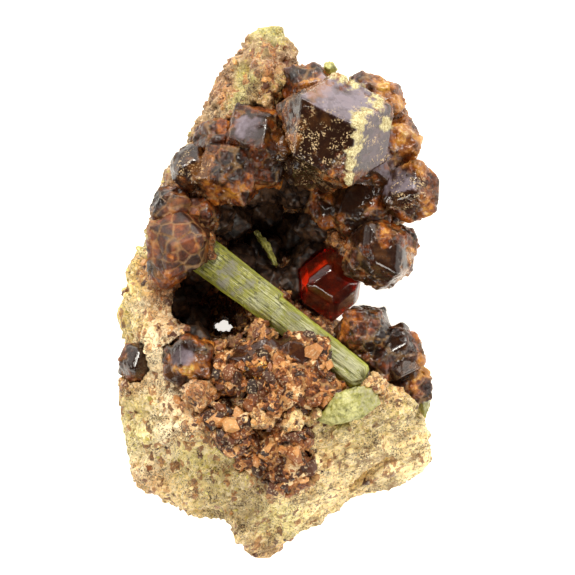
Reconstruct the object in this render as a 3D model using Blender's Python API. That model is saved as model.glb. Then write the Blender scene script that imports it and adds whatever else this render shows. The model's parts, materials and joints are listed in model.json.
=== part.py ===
"""Grossular garnet with epidote: a hand specimen of skarn, 54 mm long, lying on its broken back.

Brown garnets stand round an open pocket in a granular rock, and a striated green epidote prism bridges
the pocket. Lengths are in millimetres until the meshes are made, which are in metres. +X is the
specimen's right, +Y its pointed top, +Z the side that shows the pocket. Z is 0 where the back rests.
"""

import math

import bmesh
import bpy
import numpy as np
from mathutils import Euler, Matrix, Vector

METRES = 0.001

# Driving dimensions: the specimen's box, the flat worn off its back, and the gap between pieces.
WIDTH = 32.0
LENGTH = 54.0
DEPTH = 24.0
REST_CUT = 0.2
GAP = 0.3

# The rock is worked out on a grid with this margin, remeshed evenly and thinned to so many triangles.
GRID_STEP = 0.8
GRID_MARGIN = 1.5
REMESH_STEP = 0.6
ROCK_TRIANGLES = 2400

# Outline of the bare rock seen from the front, clockwise from its pointed top.
OUTLINE = [
    (-1.1, 28.0), (0.6, 26.9), (1.5, 25.0), (1.6, 23.2), (2.0, 21.4), (5.6, 20.6), (7.4, 21.2),
    (9.6, 21.7), (11.4, 21.0), (12.3, 19.6), (12.6, 17.8), (13.3, 15.6), (13.2, 13.4), (12.6, 11.4),
    (12.6, 8.6), (12.0, 6.4), (10.4, 5.0), (8.0, 3.6), (7.0, 1.8), (6.4, -0.6), (6.2, -2.6),
    (8.0, -4.0), (10.8, -4.9), (13.4, -6.0), (14.5, -8.6), (14.6, -12.6), (15.0, -14.2),
    (15.2, -16.4), (14.2, -18.0), (12.1, -19.3), (9.6, -19.9), (7.2, -20.7), (5.2, -22.0),
    (3.2, -22.8), (1.6, -24.8), (0.4, -26.2), (-0.5, -27.7), (-2.1, -27.5), (-3.9, -26.1),
    (-6.4, -22.3), (-9.8, -21.3), (-12.0, -20.7), (-13.9, -19.1), (-15.0, -17.0), (-14.9, -14.6),
    (-15.8, -10.2), (-15.7, -8.0), (-14.7, -5.9), (-16.2, -3.2), (-16.3, -0.8), (-15.4, 1.3),
    (-12.9, 5.4), (-12.4, 8.0), (-11.4, 10.6), (-9.0, 15.9), (-7.3, 18.1), (-6.8, 20.0),
    (-4.1, 23.7), (-2.0, 26.4),
]

# Height of the rock's front above the rest plane at chosen places: x, y, height.
FRONT_HEIGHTS = [
    (-0.7, 25.8, 11.5), (0.5, 23.3, 14.8), (-3.6, 22.3, 13.4), (-6.0, 18.6, 12.8), (-3.6, 17.6, 16.6),
    (-0.8, 19.2, 16.6), (-8.4, 14.2, 13.2), (-6.2, 13.2, 15.8), (-10.4, 9.4, 13.8),
    (-8.4, 8.2, 16.0), (-13.2, 3.4, 11.8), (-10.6, 2.2, 15.2), (-15.2, -2.0, 10.8),
    (-12.0, -2.6, 15.4), (-10.6, -6.2, 18.4), (-14.6, -8.2, 13.0), (-10.0, -12.0, 18.4),
    (-13.6, -13.2, 14.2), (-5.0, -9.0, 18.8), (-1.0, -10.2, 19.8), (3.2, -10.0, 19.4),
    (-4.0, -14.0, 19.0), (1.0, -14.4, 19.4), (0.0, -18.0, 17.0), (-6.2, -18.2, 16.2),
    (-11.2, -18.2, 12.8), (-0.7, -25.4, 9.0), (-4.0, -22.0, 13.2), (4.0, -20.8, 12.4),
    (8.0, -11.0, 19.6), (12.0, -11.2, 17.2), (14.4, -14.2, 12.6), (8.0, -16.0, 16.6),
    (13.0, -17.0, 11.8), (9.0, -19.2, 10.8), (9.0, -6.2, 14.8), (13.0, -8.0, 13.0),
    (0.0, 5.0, 15.5), (3.0, 18.0, 16.4), (7.0, 16.0, 17.4), (10.2, 20.0, 12.6), (11.6, 15.8, 14.0),
    (11.0, 11.0, 14.6), (8.0, 8.8, 14.4), (10.6, 6.6, 14.6), (6.0, 3.0, 11.5), (5.8, 0.0, 9.0),
    (8.8, 4.6, 14.4), (5.0, 12.0, 16.0),
]

# Height of the rock's underside above the rest plane: it touches in the middle and lifts at the rim.
BACK_HEIGHTS = [
    (-3.0, -5.0, -2.0), (-8.0, 4.0, -1.6), (0.0, -15.0, -2.0), (4.0, 6.0, -1.6), (2.0, 14.0, -1.2),
    (-9.0, -12.0, -1.6), (8.0, -13.0, -1.8), (-0.7, 25.4, 5.4), (12.2, 10.0, 4.4), (12.0, 19.0, 4.8),
    (-15.4, -2.0, 3.8), (-10.0, 13.0, 4.4), (-0.7, -25.6, 4.2), (14.0, -15.0, 2.6),
    (8.0, -20.0, 1.6), (-14.0, -17.0, 3.4), (-6.0, -21.6, 2.4), (6.0, 0.0, 3.0), (13.0, -8.0, 3.2),
]

# Hollows in the rock, as ellipsoids: name, centre, radii. The first three make the pocket.
HOLLOWS = {
    "pocket": ((-0.4, 5.8, 15.4), (6.6, 7.2, 10.2)),
    "left_lobe": ((-6.2, -1.2, 12.6), (4.9, 4.6, 9.8)),
    "right_lobe": ((5.0, 0.6, 15.0), (5.2, 4.4, 7.6)),
    "upper_cleft": ((0.9, 16.0, 17.5), (2.1, 5.2, 6.0)),
    "under_shelf": ((6.6, 8.6, 14.0), (4.2, 3.0, 3.8)),
    "through_hole": ((-5.4, -3.7, 2.0), (1.5, 1.05, 9.0)),
    "small_through_hole": ((-3.0, -4.8, 6.0), (1.2, 0.75, 13.0)),
}
POCKET = ("pocket", "left_lobe", "right_lobe")
TUNNELS = ("through_hole", "small_through_hole")

# How widely the rock rounds over where its side meets its front and its back, and a pit's lip.
FRONT_ROUNDING, BACK_ROUNDING, PIT_ROUNDING = 2.4, 2.0, 0.3

# How softly the chosen heights blend: a distance in mm, and how fast a height's pull falls off.
BLEND_DISTANCE, BLEND_POWER = 1.1, 1.8

# The rock's broken surface: how wide and how deep its lumps and its flat chips are, and how far
# both are set inwards, so that the outline stays the outermost line.
LUMP_SIZE, LUMP_DEPTH, LUMP_INSET = 4.5, 0.5, 0.3
CHIP_SIZE, CHIP_DEPTH, CHIP_INSET = 3.2, 0.5, 0.5
LUMP_SEED, CHIP_SEED = 3, 4
LUMP_CELLS, CHIP_CELLS = 32, 16

# Pits in the rock's front: centre and radius.
PITS = [
    ((-0.3, 23.8, 14.4), 0.9), ((-0.6, -15.0, 19.6), 1.3), ((-12.8, -12.4, 15.4), 1.3),
    ((4.6, -13.3, 19.0), 1.1), ((-6.4, -18.8, 16.6), 0.8), ((14.0, -15.9, 12.4), 0.6),
]

# Bedding in the lower right of the rock: it breaks in thin ledges that dip to the right.
BEDDING_NORMAL = Vector((0.36, -0.82, 0.44)).normalized()
LEDGE_SPACING = 2.3
LEDGE_DEPTH = 0.84
# The ledges fade in along x minus y, from the first of these distances to the second.
LEDGE_START, LEDGE_FULL = 12.0, 22.0

# Garnets as name, then crystals: centre, distance to the twelve faces, turn in degrees, edge bevel,
# and, where the crystal broke off flat, the break's normal in the unturned crystal and its distance.
# A bevel of 1 leaves the twelve rhombic faces sharp; less cuts the edges with the 24 narrow faces.
# A natural crystal is uneven: each face stands nearer or further out by up to this share.
UNEVENNESS = 0.03
GARNETS = {
    "garnet_crown": [
        ((5.5, 15.5, 19.0), 4.85, (49.5, -11.0, 27.0), 1.0, (-1, 0, 0), 3.6),
        ((3.2, 20.1, 15.2), 2.1, (20, 35, 60), 1.0),
        ((8.8, 19.7, 13.8), 1.7, (10, 50, 15), 1.0),
        ((10.6, 18.7, 14.0), 1.8, (35, 20, 45), 1.0),
        ((12.0, 14.7, 14.8), 2.1, (40, 10, 70), 1.0),
        ((3.0, 12.8, 16.2), 2.2, (15, 65, 30), 1.0),
        ((9.7, 12.4, 15.2), 2.4, (55, 30, 25), 1.0),
        ((13.3, 9.9, 15.6), 2.65, (50, 40, 20), 0.96),
        ((10.2, 3.6, 16.4), 2.95, (38, 12, 28), 0.96),
        ((12.6, 4.7, 14.4), 1.3, (10, 45, 30), 1.0),
        ((8.4, 8.0, 14.6), 2.7, (60, 50, 15), 1.0),
        ((5.4, 8.6, 13.0), 2.0, (30, 20, 65), 1.0),
    ],
    "garnet_upper_left": [
        ((-1.8, 14.8, 15.6), 3.15, (88.8, -11.0, 119.0), 1.0),
        ((-4.6, 11.9, 15.8), 2.9, (60, 20, 10), 1.0),
        ((-1.3, 12.4, 15.2), 2.0, (35, 50, 65), 1.0),
        ((0.4, 14.2, 17.2), 1.2, (15, 15, 40), 1.0),
        ((-6.0, 14.9, 14.4), 1.8, (50, 60, 20), 1.0),
        ((-8.6, 12.2, 15.8), 1.8, (30, 60, 20), 0.92),
    ],
    "garnet_left": [
        ((-9.8, 4.7, 16.4), 2.8, (35, 25, 75), 0.96),
        ((-10.4, 8.0, 15.0), 1.9, (70, 40, 15), 1.0),
        ((-7.6, 7.6, 14.8), 1.6, (20, 15, 50), 1.0),
        ((-10.9, 2.2, 15.2), 1.5, (45, 65, 30), 1.0),
    ],
    "garnet_lower_left": [((-8.7, -7.0, 17.4), 2.3, (48, 22, 35), 0.97)],
    "garnet_left_edge": [((-13.9, -7.2, 12.6), 1.7, (20, 70, 50), 0.95)],
    "garnet_front": [
        ((-1.4, -7.3, 17.7), 2.6, (30, 30, 15), 0.95),
        ((2.3, -7.2, 17.8), 2.8, (55, 10, 40), 1.0),
        ((0.2, -9.6, 18.6), 2.7, (15, 55, 70), 1.0),
        ((-4.2, -8.2, 17.8), 2.0, (65, 35, 20), 1.0),
        ((3.9, -10.0, 18.4), 1.9, (40, 70, 55), 1.0),
    ],
    "garnet_front_low": [
        ((-4.0, -14.0, 18.0), 2.0, (15, 40, 70), 1.0),
        ((-2.2, -16.2, 17.2), 1.6, (45, 15, 30), 1.0),
        ((-6.0, -12.4, 17.8), 1.4, (70, 25, 10), 1.0),
        ((1.3, -17.6, 16.4), 2.1, (65, 25, 55), 1.0),
        ((1.4, -14.6, 18.0), 1.7, (25, 45, 15), 1.0),
        ((-0.6, -15.4, 17.6), 1.5, (35, 65, 25), 1.0),
    ],
    "garnet_red": [((5.3, 0.7, 10.9), 2.75, (0, 52, 3), 0.93)],
    "garnet_lower_right": [
        ((8.6, -4.2, 15.6), 2.4, (40, 18, 50), 1.0),
        ((11.8, -6.4, 14.8), 2.4, (25, 65, 10), 0.97),
        ((13.0, -9.2, 13.4), 2.0, (70, 35, 45), 1.0),
        ((9.6, -7.4, 15.8), 1.9, (15, 30, 60), 1.0),
    ],
}

# Small garnets that grow out of the rock and are one with it: centre and distance to the faces.
ROCK_GARNETS = [
    ((-11.5, -8.6, 18.0), 0.9), ((-7.6, -10.2, 18.6), 1.4), ((-8.4, -13.6, 17.8), 1.3),
    ((-7.0, -7.4, 17.2), 1.2), ((1.6, -13.0, 19.4), 1.2), ((4.2, -12.0, 19.2), 1.0),
    ((-12.9, -18.2, 11.6), 0.8), ((9.6, -9.4, 18.6), 1.1), ((6.4, -14.0, 18.0), 0.9),
    ((-1.4, -12.4, 20.0), 1.1), ((-5.0, 20.0, 14.4), 0.9), ((-1.4, 21.4, 15.6), 1.1),
    ((-11.0, -14.0, 16.8), 1.0), ((3.4, -17.0, 16.6), 0.9), ((11.4, 8.0, 12.8), 1.4),
    ((-12.6, -0.4, 14.0), 0.8), ((-3.2, -18.4, 16.6), 1.0), ((5.6, -17.4, 15.2), 0.7),
]

# The garnets that line the pocket, as rows of crystals on the wall of a hollow: hollow, height as a
# share of its lower radius, how many, angle of the first and of the last, distance to the faces.
CRUST_ROWS = [
    ("pocket", -0.92, 3, 0, 240, 2.2),
    ("pocket", -0.66, 7, 10, 320, 2.0),
    ("pocket", -0.36, 5, 20, 165, 1.9),
    ("left_lobe", -0.62, 4, 70, 215, 1.8),
    ("left_lobe", -0.30, 3, 120, 240, 1.7),
    ("right_lobe", -0.80, 3, 110, 260, 1.8),
]
CRUST_SEED = 11
CRUST_SIZES = (0.9, 1.15)

# The striated epidote prism: ends of its axis, its widths there, and its thickness.
PRISM_START = (-8.3, 4.2, 11.8)
PRISM_END = (8.7, -8.9, 18.7)
PRISM_WIDTHS = (3.7, 2.8)
PRISM_THICKNESS = 2.4
PRISM_GROOVE = 0.28
PRISM_SECTIONS = 5
# The room's six sides lean, so it stands off a little more sideways to keep the gap everywhere.
ROOM_SIDE_GAP = GAP * 1.3
# Its second blade lies along the upper edge and stops part of the way, which leaves a step.
BLADE_SHARE = 0.47
BLADE_OFFSET = (0.95, 0.1)
BLADE_SIZE = (2.2, 2.0)


def clear_scene():
    """Removes everything that Blender starts with."""
    for thing in list(bpy.data.objects):
        bpy.data.objects.remove(thing)


def material(name, colour, roughness):
    """A mineral's finish: its colour as linear red, green and blue, and how rough it is."""
    made = bpy.data.materials.new(name)
    made.use_nodes = True
    shader = made.node_tree.nodes["Principled BSDF"]
    shader.inputs["Base Color"].default_value = (*colour, 1.0)
    shader.inputs["Roughness"].default_value = roughness
    shader.inputs["Metallic"].default_value = 0.0
    return made


def new_object(name, bm):
    """An object from a bmesh in millimetres, with its mesh in metres."""
    bmesh.ops.scale(bm, vec=(METRES,) * 3, verts=bm.verts)
    bmesh.ops.recalc_face_normals(bm, faces=bm.faces)
    mesh = bpy.data.meshes.new(name)
    bm.to_mesh(mesh)
    bm.free()
    made = bpy.data.objects.new(name, mesh)
    bpy.context.scene.collection.objects.link(made)
    return made


def as_helper(thing):
    """Marks an object as a cutter or a guide, which isn't part of the specimen."""
    thing.hide_render = True
    thing.display_type = "WIRE"
    return thing


def apply_modifiers(thing):
    """Replaces an object's mesh with what its modifiers make of it."""
    graph = bpy.context.evaluated_depsgraph_get()
    made = bpy.data.meshes.new_from_object(thing.evaluated_get(graph))
    thing.modifiers.clear()
    thing.data = made


def boolean(thing, others, operation):
    """Joins, cuts or crosses thing with other objects in one step, and applies the result."""
    group = bpy.data.collections.new("operands")
    for other in others:
        group.objects.link(other)
    step = thing.modifiers.new(operation.lower(), "BOOLEAN")
    step.operation = operation
    step.solver = "EXACT"
    step.operand_type = "COLLECTION"
    step.collection = group
    apply_modifiers(thing)
    bpy.data.collections.remove(group)


def corners(thing):
    """Lowest and highest corner of an object's mesh, in metres."""
    points = np.array([v.co for v in thing.data.vertices])
    return points.min(axis=0), points.max(axis=0)


def boxes_meet(a, b):
    """Whether the boxes round two objects overlap."""
    low_a, high_a = corners(a)
    low_b, high_b = corners(b)
    return bool((low_a < high_b).all() and (low_b < high_a).all())


def keep_largest(thing):
    """Drops the loose crumbs that cutting leaves, so that one connected body remains."""
    bm = bmesh.new()
    bm.from_mesh(thing.data)
    left = set(bm.verts)
    bodies = []
    while left:
        body = {left.pop()}
        edge_of_body = list(body)
        while edge_of_body:
            vert = edge_of_body.pop()
            near = {edge.other_vert(vert) for edge in vert.link_edges} & left
            left -= near
            body |= near
            edge_of_body.extend(near)
        bodies.append(body)
    largest = max(bodies, key=len)
    crumbs = [vert for vert in bm.verts if vert not in largest]
    bmesh.ops.delete(bm, geom=crumbs, context="VERTS")
    bm.to_mesh(thing.data)
    bm.free()


# A crystal is cut from a block so many times as wide as its faces are far out.
BLOCK_SHARE = 4


def faces_of_garnet(size, bevel):
    """Normals and distances of a garnet's faces: twelve rhombic ones and 24 narrow ones on their edges."""
    faces = []
    edge_distance = size * 2 / math.sqrt(3) * bevel
    for a in (-1, 1):
        for b in (-1, 1):
            for normal in ((a, b, 0), (a, 0, b), (0, a, b)):
                faces.append((Vector(normal).normalized(), size))
            if bevel == 1.0:
                continue
            for c in (-1, 1):
                for normal in ((2 * a, b, c), (a, 2 * b, c), (a, b, 2 * c)):
                    faces.append((Vector(normal).normalized(), edge_distance))
    return faces


def cut_block(faces):
    """A convex crystal in millimetres: a block cut along one plane after another."""
    reach = BLOCK_SHARE * max(distance for _, distance in faces)
    bm = bmesh.new()
    bmesh.ops.create_cube(bm, size=reach)
    for normal, distance in faces:
        everything = bm.verts[:] + bm.edges[:] + bm.faces[:]
        bmesh.ops.bisect_plane(
            bm, geom=everything, plane_co=normal * distance, plane_no=normal, dist=1e-6, clear_outer=True
        )
        rim = [edge for edge in bm.edges if edge.is_boundary]
        if rim:
            bmesh.ops.holes_fill(bm, edges=rim, sides=0)
    bmesh.ops.remove_doubles(bm, verts=bm.verts, dist=1e-4)
    return bm


def garnet(name, centre, size, turn, bevel, broken=None, broken_at=0.0, grow=0.0):
    """One garnet, in millimetres. Its own size and place, in whole microns, seed how uneven it is."""
    uneven = np.random.default_rng([round(abs(value) / METRES) for value in (*centre, size)])
    faces = []
    for normal, distance in faces_of_garnet(size, bevel):
        share = 1 + uneven.uniform(-UNEVENNESS, UNEVENNESS)
        faces.append((normal, distance * share + grow))
    if broken:
        faces.append((Vector(broken), broken_at + grow))
    bm = cut_block(faces)
    rotation = Euler([math.radians(angle) for angle in turn]).to_matrix()
    bmesh.ops.rotate(bm, verts=bm.verts, cent=(0, 0, 0), matrix=rotation)
    bmesh.ops.translate(bm, verts=bm.verts, vec=centre)
    return new_object(name, bm)


def garnet_cluster(name, crystals):
    """Garnets grown together as one solid, with the grown copies that cut room for it."""
    solid = garnet(name, *crystals[0])
    parts = [as_helper(garnet(name + ".part", *crystal)) for crystal in crystals[1:]]
    if parts:
        boolean(solid, parts, "UNION")
    cutters = []
    for centre, size, turn, _, *broken in crystals:
        cutters.append(as_helper(garnet(name + ".room", centre, size, turn, 1.0, *broken, grow=GAP)))
    return solid, cutters


def prism_loops(start, end, section_at, steps):
    """Rings of points along an axis: section_at gives the ring's points across it at a share of the way."""
    start, end = Vector(start), Vector(end)
    along = (end - start).normalized()
    side = along.cross(Vector((0, 0, 1))).normalized() * -1
    up = along.cross(side).normalized()
    if up.z < 0:
        up.negate()
    rings = []
    for i in range(steps):
        share = i / (steps - 1)
        middle = start.lerp(end, share)
        rings.append([middle + side * u + up * v for u, v in section_at(share)])
    return rings


def skin(rings):
    """A closed tube in millimetres over rings of points, with flat ends."""
    bm = bmesh.new()
    rows = [[bm.verts.new(point) for point in ring] for ring in rings]
    for row, after in zip(rows, rows[1:]):
        for i in range(len(row)):
            j = (i + 1) % len(row)
            bm.faces.new((row[i], row[j], after[j], after[i]))
    bm.faces.new(rows[0][::-1])
    bm.faces.new(rows[-1])
    return bm


def prism_section(width, thickness, offset, groove):
    """A flattened six-sided shape across the prism, with shallow grooves along its broad sides."""
    half, tall = width / 2, thickness / 2
    low = 1 - groove / tall
    shape = [
        (-1, 0.1), (-0.8, 0.7), (-0.62, 0.96), (-0.5, low), (-0.3, 1), (-0.1, low), (0.15, 1),
        (0.35, low), (0.52, 0.96), (0.74, 0.76), (1, 0.1), (0.8, -0.76), (0.3, -1), (0, -low),
        (-0.4, -1), (-0.8, -0.7),
    ]
    return [(offset[0] + u * half, offset[1] + v * tall) for u, v in shape]


def room_section(width, thickness, offset):
    """The six-sided shape of the room that the prism takes, a little wider than the prism."""
    half, tall = width / 2 + ROOM_SIDE_GAP, thickness / 2 + GAP
    shape = [(-1, 0.1), (-0.68, 1), (0.62, 1), (1, 0.1), (0.72, -1), (-0.7, -1)]
    return [(offset[0] + u * half, offset[1] + v * tall) for u, v in shape]


def prism_width(share):
    """The prism's width at a share of its length."""
    return PRISM_WIDTHS[0] + (PRISM_WIDTHS[1] - PRISM_WIDTHS[0]) * share


def epidote_prism():
    """The long prism. Two blades grew side by side, and the shorter one ends in a step."""
    start, end = Vector(PRISM_START), Vector(PRISM_END)

    def main_blade(share):
        return prism_section(prism_width(share), PRISM_THICKNESS, (0, 0), PRISM_GROOVE)

    def short_blade(share):
        return prism_section(BLADE_SIZE[0], BLADE_SIZE[1], BLADE_OFFSET, PRISM_GROOVE)

    solid = new_object("epidote_prism", skin(prism_loops(start, end, main_blade, PRISM_SECTIONS)))
    short = skin(prism_loops(start, start.lerp(end, BLADE_SHARE), short_blade, 2))
    boolean(solid, [as_helper(new_object("epidote_prism.blade", short))], "UNION")
    return solid


def prism_rooms():
    """Grown copies of the prism's two blades, which cut room for it."""
    start, end = Vector(PRISM_START), Vector(PRISM_END)
    stretch = (end - start).normalized() * GAP

    def main_room(share):
        return room_section(prism_width(share), PRISM_THICKNESS, (0, 0))

    def short_room(share):
        return room_section(BLADE_SIZE[0], BLADE_SIZE[1], BLADE_OFFSET)

    step_end = start.lerp(end, BLADE_SHARE)
    bodies = [
        skin(prism_loops(start - stretch, end + stretch, main_room, 2)),
        skin(prism_loops(start - stretch, step_end + stretch, short_room, 2)),
    ]
    return [as_helper(new_object("epidote_prism.room", body)) for body in bodies]


def hull(name, points, grow=0.0):
    """The closed flat-faced solid round a few points, grown outwards from its middle."""
    middle = sum((Vector(p) for p in points), Vector()) / len(points)
    bm = bmesh.new()
    for point in points:
        away = Vector(point) - middle
        bm.verts.new(Vector(point) + away.normalized() * grow * math.sqrt(3))
    bmesh.ops.convex_hull(bm, input=bm.verts)
    loose = [vert for vert in bm.verts if not vert.link_faces]
    bmesh.ops.delete(bm, geom=loose, context="VERTS")
    return new_object(name, bm)


# Flat-faced epidote crystals, each by its corners.
EPIDOTE_CRYSTALS = {
    "epidote_blade": [
        (4.0, -12.8, 19.6), (6.6, -11.4, 21.2), (6.8, -12.9, 20.6), (6.0, -10.2, 20.4), (7.8, -9.5, 20.2),
        (9.8, -9.7, 19.2), (10.2, -11.2, 18.8), (8.4, -12.6, 19.4), (5.4, -13.4, 18.8),
        (5.0, -11.6, 18.0), (9.4, -10.4, 17.2), (7.0, -12.4, 17.4),
    ],
    "epidote_needle": [
        (-2.3, 5.9, 9.6), (-2.0, 6.0, 9.3), (-2.3, 5.7, 9.1), (-0.2, 2.5, 10.9), (0.1, 2.6, 10.7),
        (-0.1, 2.3, 10.5), (-1.1, 4.5, 10.4), (-0.8, 4.7, 10.1),
    ],
    "epidote_grain": [
        (4.5, 22.0, 14.2), (4.8, 22.7, 14.0), (5.5, 22.8, 14.3), (6.0, 22.1, 14.1), (5.6, 21.4, 14.2),
        (4.8, 21.4, 14.0), (5.2, 22.1, 15.0), (5.7, 22.4, 14.8), (5.3, 22.0, 13.3), (4.8, 22.3, 14.7),
    ],
    "epidote_rim": [
        (14.6, -7.6, 12.6), (15.1, -7.9, 11.0), (15.3, -9.4, 12.2), (15.3, -11.4, 11.2),
        (14.8, -12.6, 12.4), (14.4, -12.2, 9.8), (14.4, -8.4, 9.4), (14.3, -10.0, 13.4),
    ],
}


def ellipsoid(name, centre, radii, inset=0.0, detail=2):
    """A hollow's shape as a solid, taken in by inset on every side."""
    bm = bmesh.new()
    bmesh.ops.create_icosphere(bm, subdivisions=detail, radius=1.0)
    bmesh.ops.scale(bm, vec=[radius - inset for radius in radii], verts=bm.verts)
    bmesh.ops.translate(bm, verts=bm.verts, vec=centre)
    return as_helper(new_object(name, bm))


def crust_crystals():
    """Centre, size and turn of each garnet that lines the pocket."""
    chance = np.random.default_rng(CRUST_SEED)
    crystals = []
    for hollow, height, count, first, last, size in CRUST_ROWS:
        centre, radii = HOLLOWS[hollow]
        ring = math.sqrt(1 - height**2)
        for i in range(count):
            angle = math.radians(first + (last - first) * i / (count - 1))
            spot = (
                centre[0] + radii[0] * ring * math.cos(angle),
                centre[1] + radii[1] * ring * math.sin(angle),
                centre[2] + radii[2] * height,
            )
            turn = tuple(chance.uniform(0, 90, 3))
            crystals.append((spot, size * chance.uniform(*CRUST_SIZES), turn, 1.0))
    return crystals


def pocket_crust():
    """The garnets that line the pocket, grown together and kept clear of the pocket's wall."""
    crystals = crust_crystals()
    crust = garnet("pocket_crust", *crystals[0])
    boolean(crust, [as_helper(garnet("pocket_crust.part", *crystal)) for crystal in crystals[1:]], "UNION")
    room = ellipsoid("pocket_crust.room", *HOLLOWS[POCKET[0]], inset=GAP)
    lobes = [ellipsoid("pocket_crust.lobe", *HOLLOWS[name], inset=GAP) for name in POCKET[1:]]
    boolean(room, lobes, "UNION")
    boolean(crust, [room], "INTERSECT")
    holes = [ellipsoid("pocket_crust.hole", *HOLLOWS[name], inset=-GAP) for name in TUNNELS]
    boolean(crust, holes, "DIFFERENCE")
    return crust


def relief(x, y, heights):
    """Height over a place, blended from the chosen heights near it."""
    total = np.zeros_like(x)
    weights = np.zeros_like(x)
    for place_x, place_y, height in heights:
        weight = 1 / ((x - place_x) ** 2 + (y - place_y) ** 2 + BLEND_DISTANCE**2) ** BLEND_POWER
        total += weight * height
        weights += weight
    return total / weights


def outline_distance(x, y):
    """Distance from the outline, negative inside it."""
    nearest = np.full_like(x, np.inf)
    inside = np.zeros(x.shape, bool)
    for (ax, ay), (bx, by) in zip(OUTLINE, OUTLINE[1:] + OUTLINE[:1]):
        dx, dy = bx - ax, by - ay
        share = np.clip(((x - ax) * dx + (y - ay) * dy) / (dx * dx + dy * dy), 0, 1)
        nearest = np.minimum(nearest, np.hypot(x - ax - share * dx, y - ay - share * dy))
        spans = (ay > y) != (by > y)
        crossing = ax + (y - ay) * dx / (dy if dy else 1e-9)
        inside ^= spans & (x < crossing)
    return np.where(inside, -nearest, nearest)


def smooth_larger(a, b, blend):
    """The larger of two distances, rounded over this width where they meet."""
    mix = np.clip(0.5 + (a - b) / (2 * blend), 0, 1)
    return b + (a - b) * mix + blend * mix * (1 - mix)


def soft_noise(points, size, seed):
    """Values from -1 to 1 that change smoothly over this distance: random ones on a lattice, blended."""
    lattice = np.random.default_rng(seed).uniform(-1, 1, (LUMP_CELLS,) * 3)
    place = points / size
    whole = np.floor(place).astype(int)
    part = place - whole
    part = part * part * (3 - 2 * part)
    total = np.zeros(points.shape[:-1])
    for corner in np.ndindex(2, 2, 2):
        weight = np.ones(points.shape[:-1])
        for axis, end in enumerate(corner):
            weight = weight * (part[..., axis] if end else 1 - part[..., axis])
        index = (whole + corner) % LUMP_CELLS
        total += weight * lattice[index[..., 0], index[..., 1], index[..., 2]]
    return total


def chips(points, size, seed):
    """Flat chips: each point takes the tilt of the nearest of many scattered grains of this size."""
    chance = np.random.default_rng(seed)
    jitter = chance.uniform(0, 1, (CHIP_CELLS, CHIP_CELLS, CHIP_CELLS, 3))
    tilt = chance.normal(0, 1, (CHIP_CELLS, CHIP_CELLS, CHIP_CELLS, 3))
    tilt /= np.linalg.norm(tilt, axis=-1, keepdims=True)
    place = points / size
    whole = np.floor(place).astype(int)
    nearest = np.full(points.shape[:-1], np.inf)
    value = np.zeros(points.shape[:-1])
    for step in np.ndindex(3, 3, 3):
        cell = whole + np.array(step) - 1
        index = tuple((cell % CHIP_CELLS)[..., axis] for axis in range(3))
        away = place - cell - jitter[index]
        distance = (away**2).sum(axis=-1)
        closer = distance < nearest
        value = np.where(closer, (away * tilt[index]).sum(axis=-1), value)
        nearest = np.minimum(nearest, distance)
    return value * size


def rock_distance(points):
    """Distance from the rock's surface, negative inside: outline, relief, ledges, chips and pits."""
    x, y, z = points[..., 0], points[..., 1], points[..., 2]
    front = relief(x, y, FRONT_HEIGHTS)
    back = relief(x, y, BACK_HEIGHTS)
    body = smooth_larger(outline_distance(x, y), z - front, FRONT_ROUNDING)
    body = smooth_larger(body, back - z, BACK_ROUNDING)
    body = body + LUMP_DEPTH * (soft_noise(points, LUMP_SIZE, LUMP_SEED) + LUMP_INSET)
    body = body + CHIP_DEPTH * (chips(points, CHIP_SIZE, CHIP_SEED) + CHIP_INSET)
    ledges = np.clip((x - y - LEDGE_START) / (LEDGE_FULL - LEDGE_START), 0, 1)
    bed = (points @ np.array(BEDDING_NORMAL)) / LEDGE_SPACING
    body = body + ledges * LEDGE_DEPTH * (bed - np.floor(bed) - 0.5)
    for centre, radius in PITS:
        pit = radius - np.linalg.norm(points - np.array(centre), axis=-1)
        body = smooth_larger(body, pit, PIT_ROUNDING)
    return np.maximum(body, -z)


def surface_mesh(field, low, step):
    """A closed bmesh round the negative part of a field on a grid. Each cell that the surface crosses
    gets one point, the mean of the crossings on its edges, and each crossed edge gets one face."""
    cells = tuple(size - 1 for size in field.shape)
    total = np.zeros(cells + (3,))
    count = np.zeros(cells, int)
    quads = []
    for axis in range(3):
        others = [other for other in range(3) if other != axis]
        near = np.take(field, range(field.shape[axis] - 1), axis)
        far = np.take(field, range(1, field.shape[axis]), axis)
        spots = np.argwhere((near < 0) != (far < 0))
        values = near[tuple(spots.T)], far[tuple(spots.T)]
        crossing = spots.astype(float)
        crossing[:, axis] += values[0] / (values[0] - values[1])
        around = []
        for shift in ((0, 0), (-1, 0), (-1, -1), (0, -1)):
            cell = spots.copy()
            cell[:, others[0]] += shift[0]
            cell[:, others[1]] += shift[1]
            np.add.at(total, tuple(cell.T), crossing)
            np.add.at(count, tuple(cell.T), 1)
            around.append(cell)
        quad = np.stack(around, axis=1)
        leaves = (values[0] < 0) == (axis != 1)
        quads.append(np.where(leaves[:, None, None], quad, quad[:, ::-1]))
    number = np.full(cells, -1)
    number[count > 0] = np.arange((count > 0).sum())
    verts = total[count > 0] / count[count > 0][:, None] * step + low
    faces = number[tuple(np.concatenate(quads).reshape(-1, 3).T)].reshape(-1, 4)
    mesh = bpy.data.meshes.new("surface")
    mesh.from_pydata(verts.tolist(), [], faces.tolist())
    bm = bmesh.new()
    bm.from_mesh(mesh)
    bpy.data.meshes.remove(mesh)
    return bm


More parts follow.
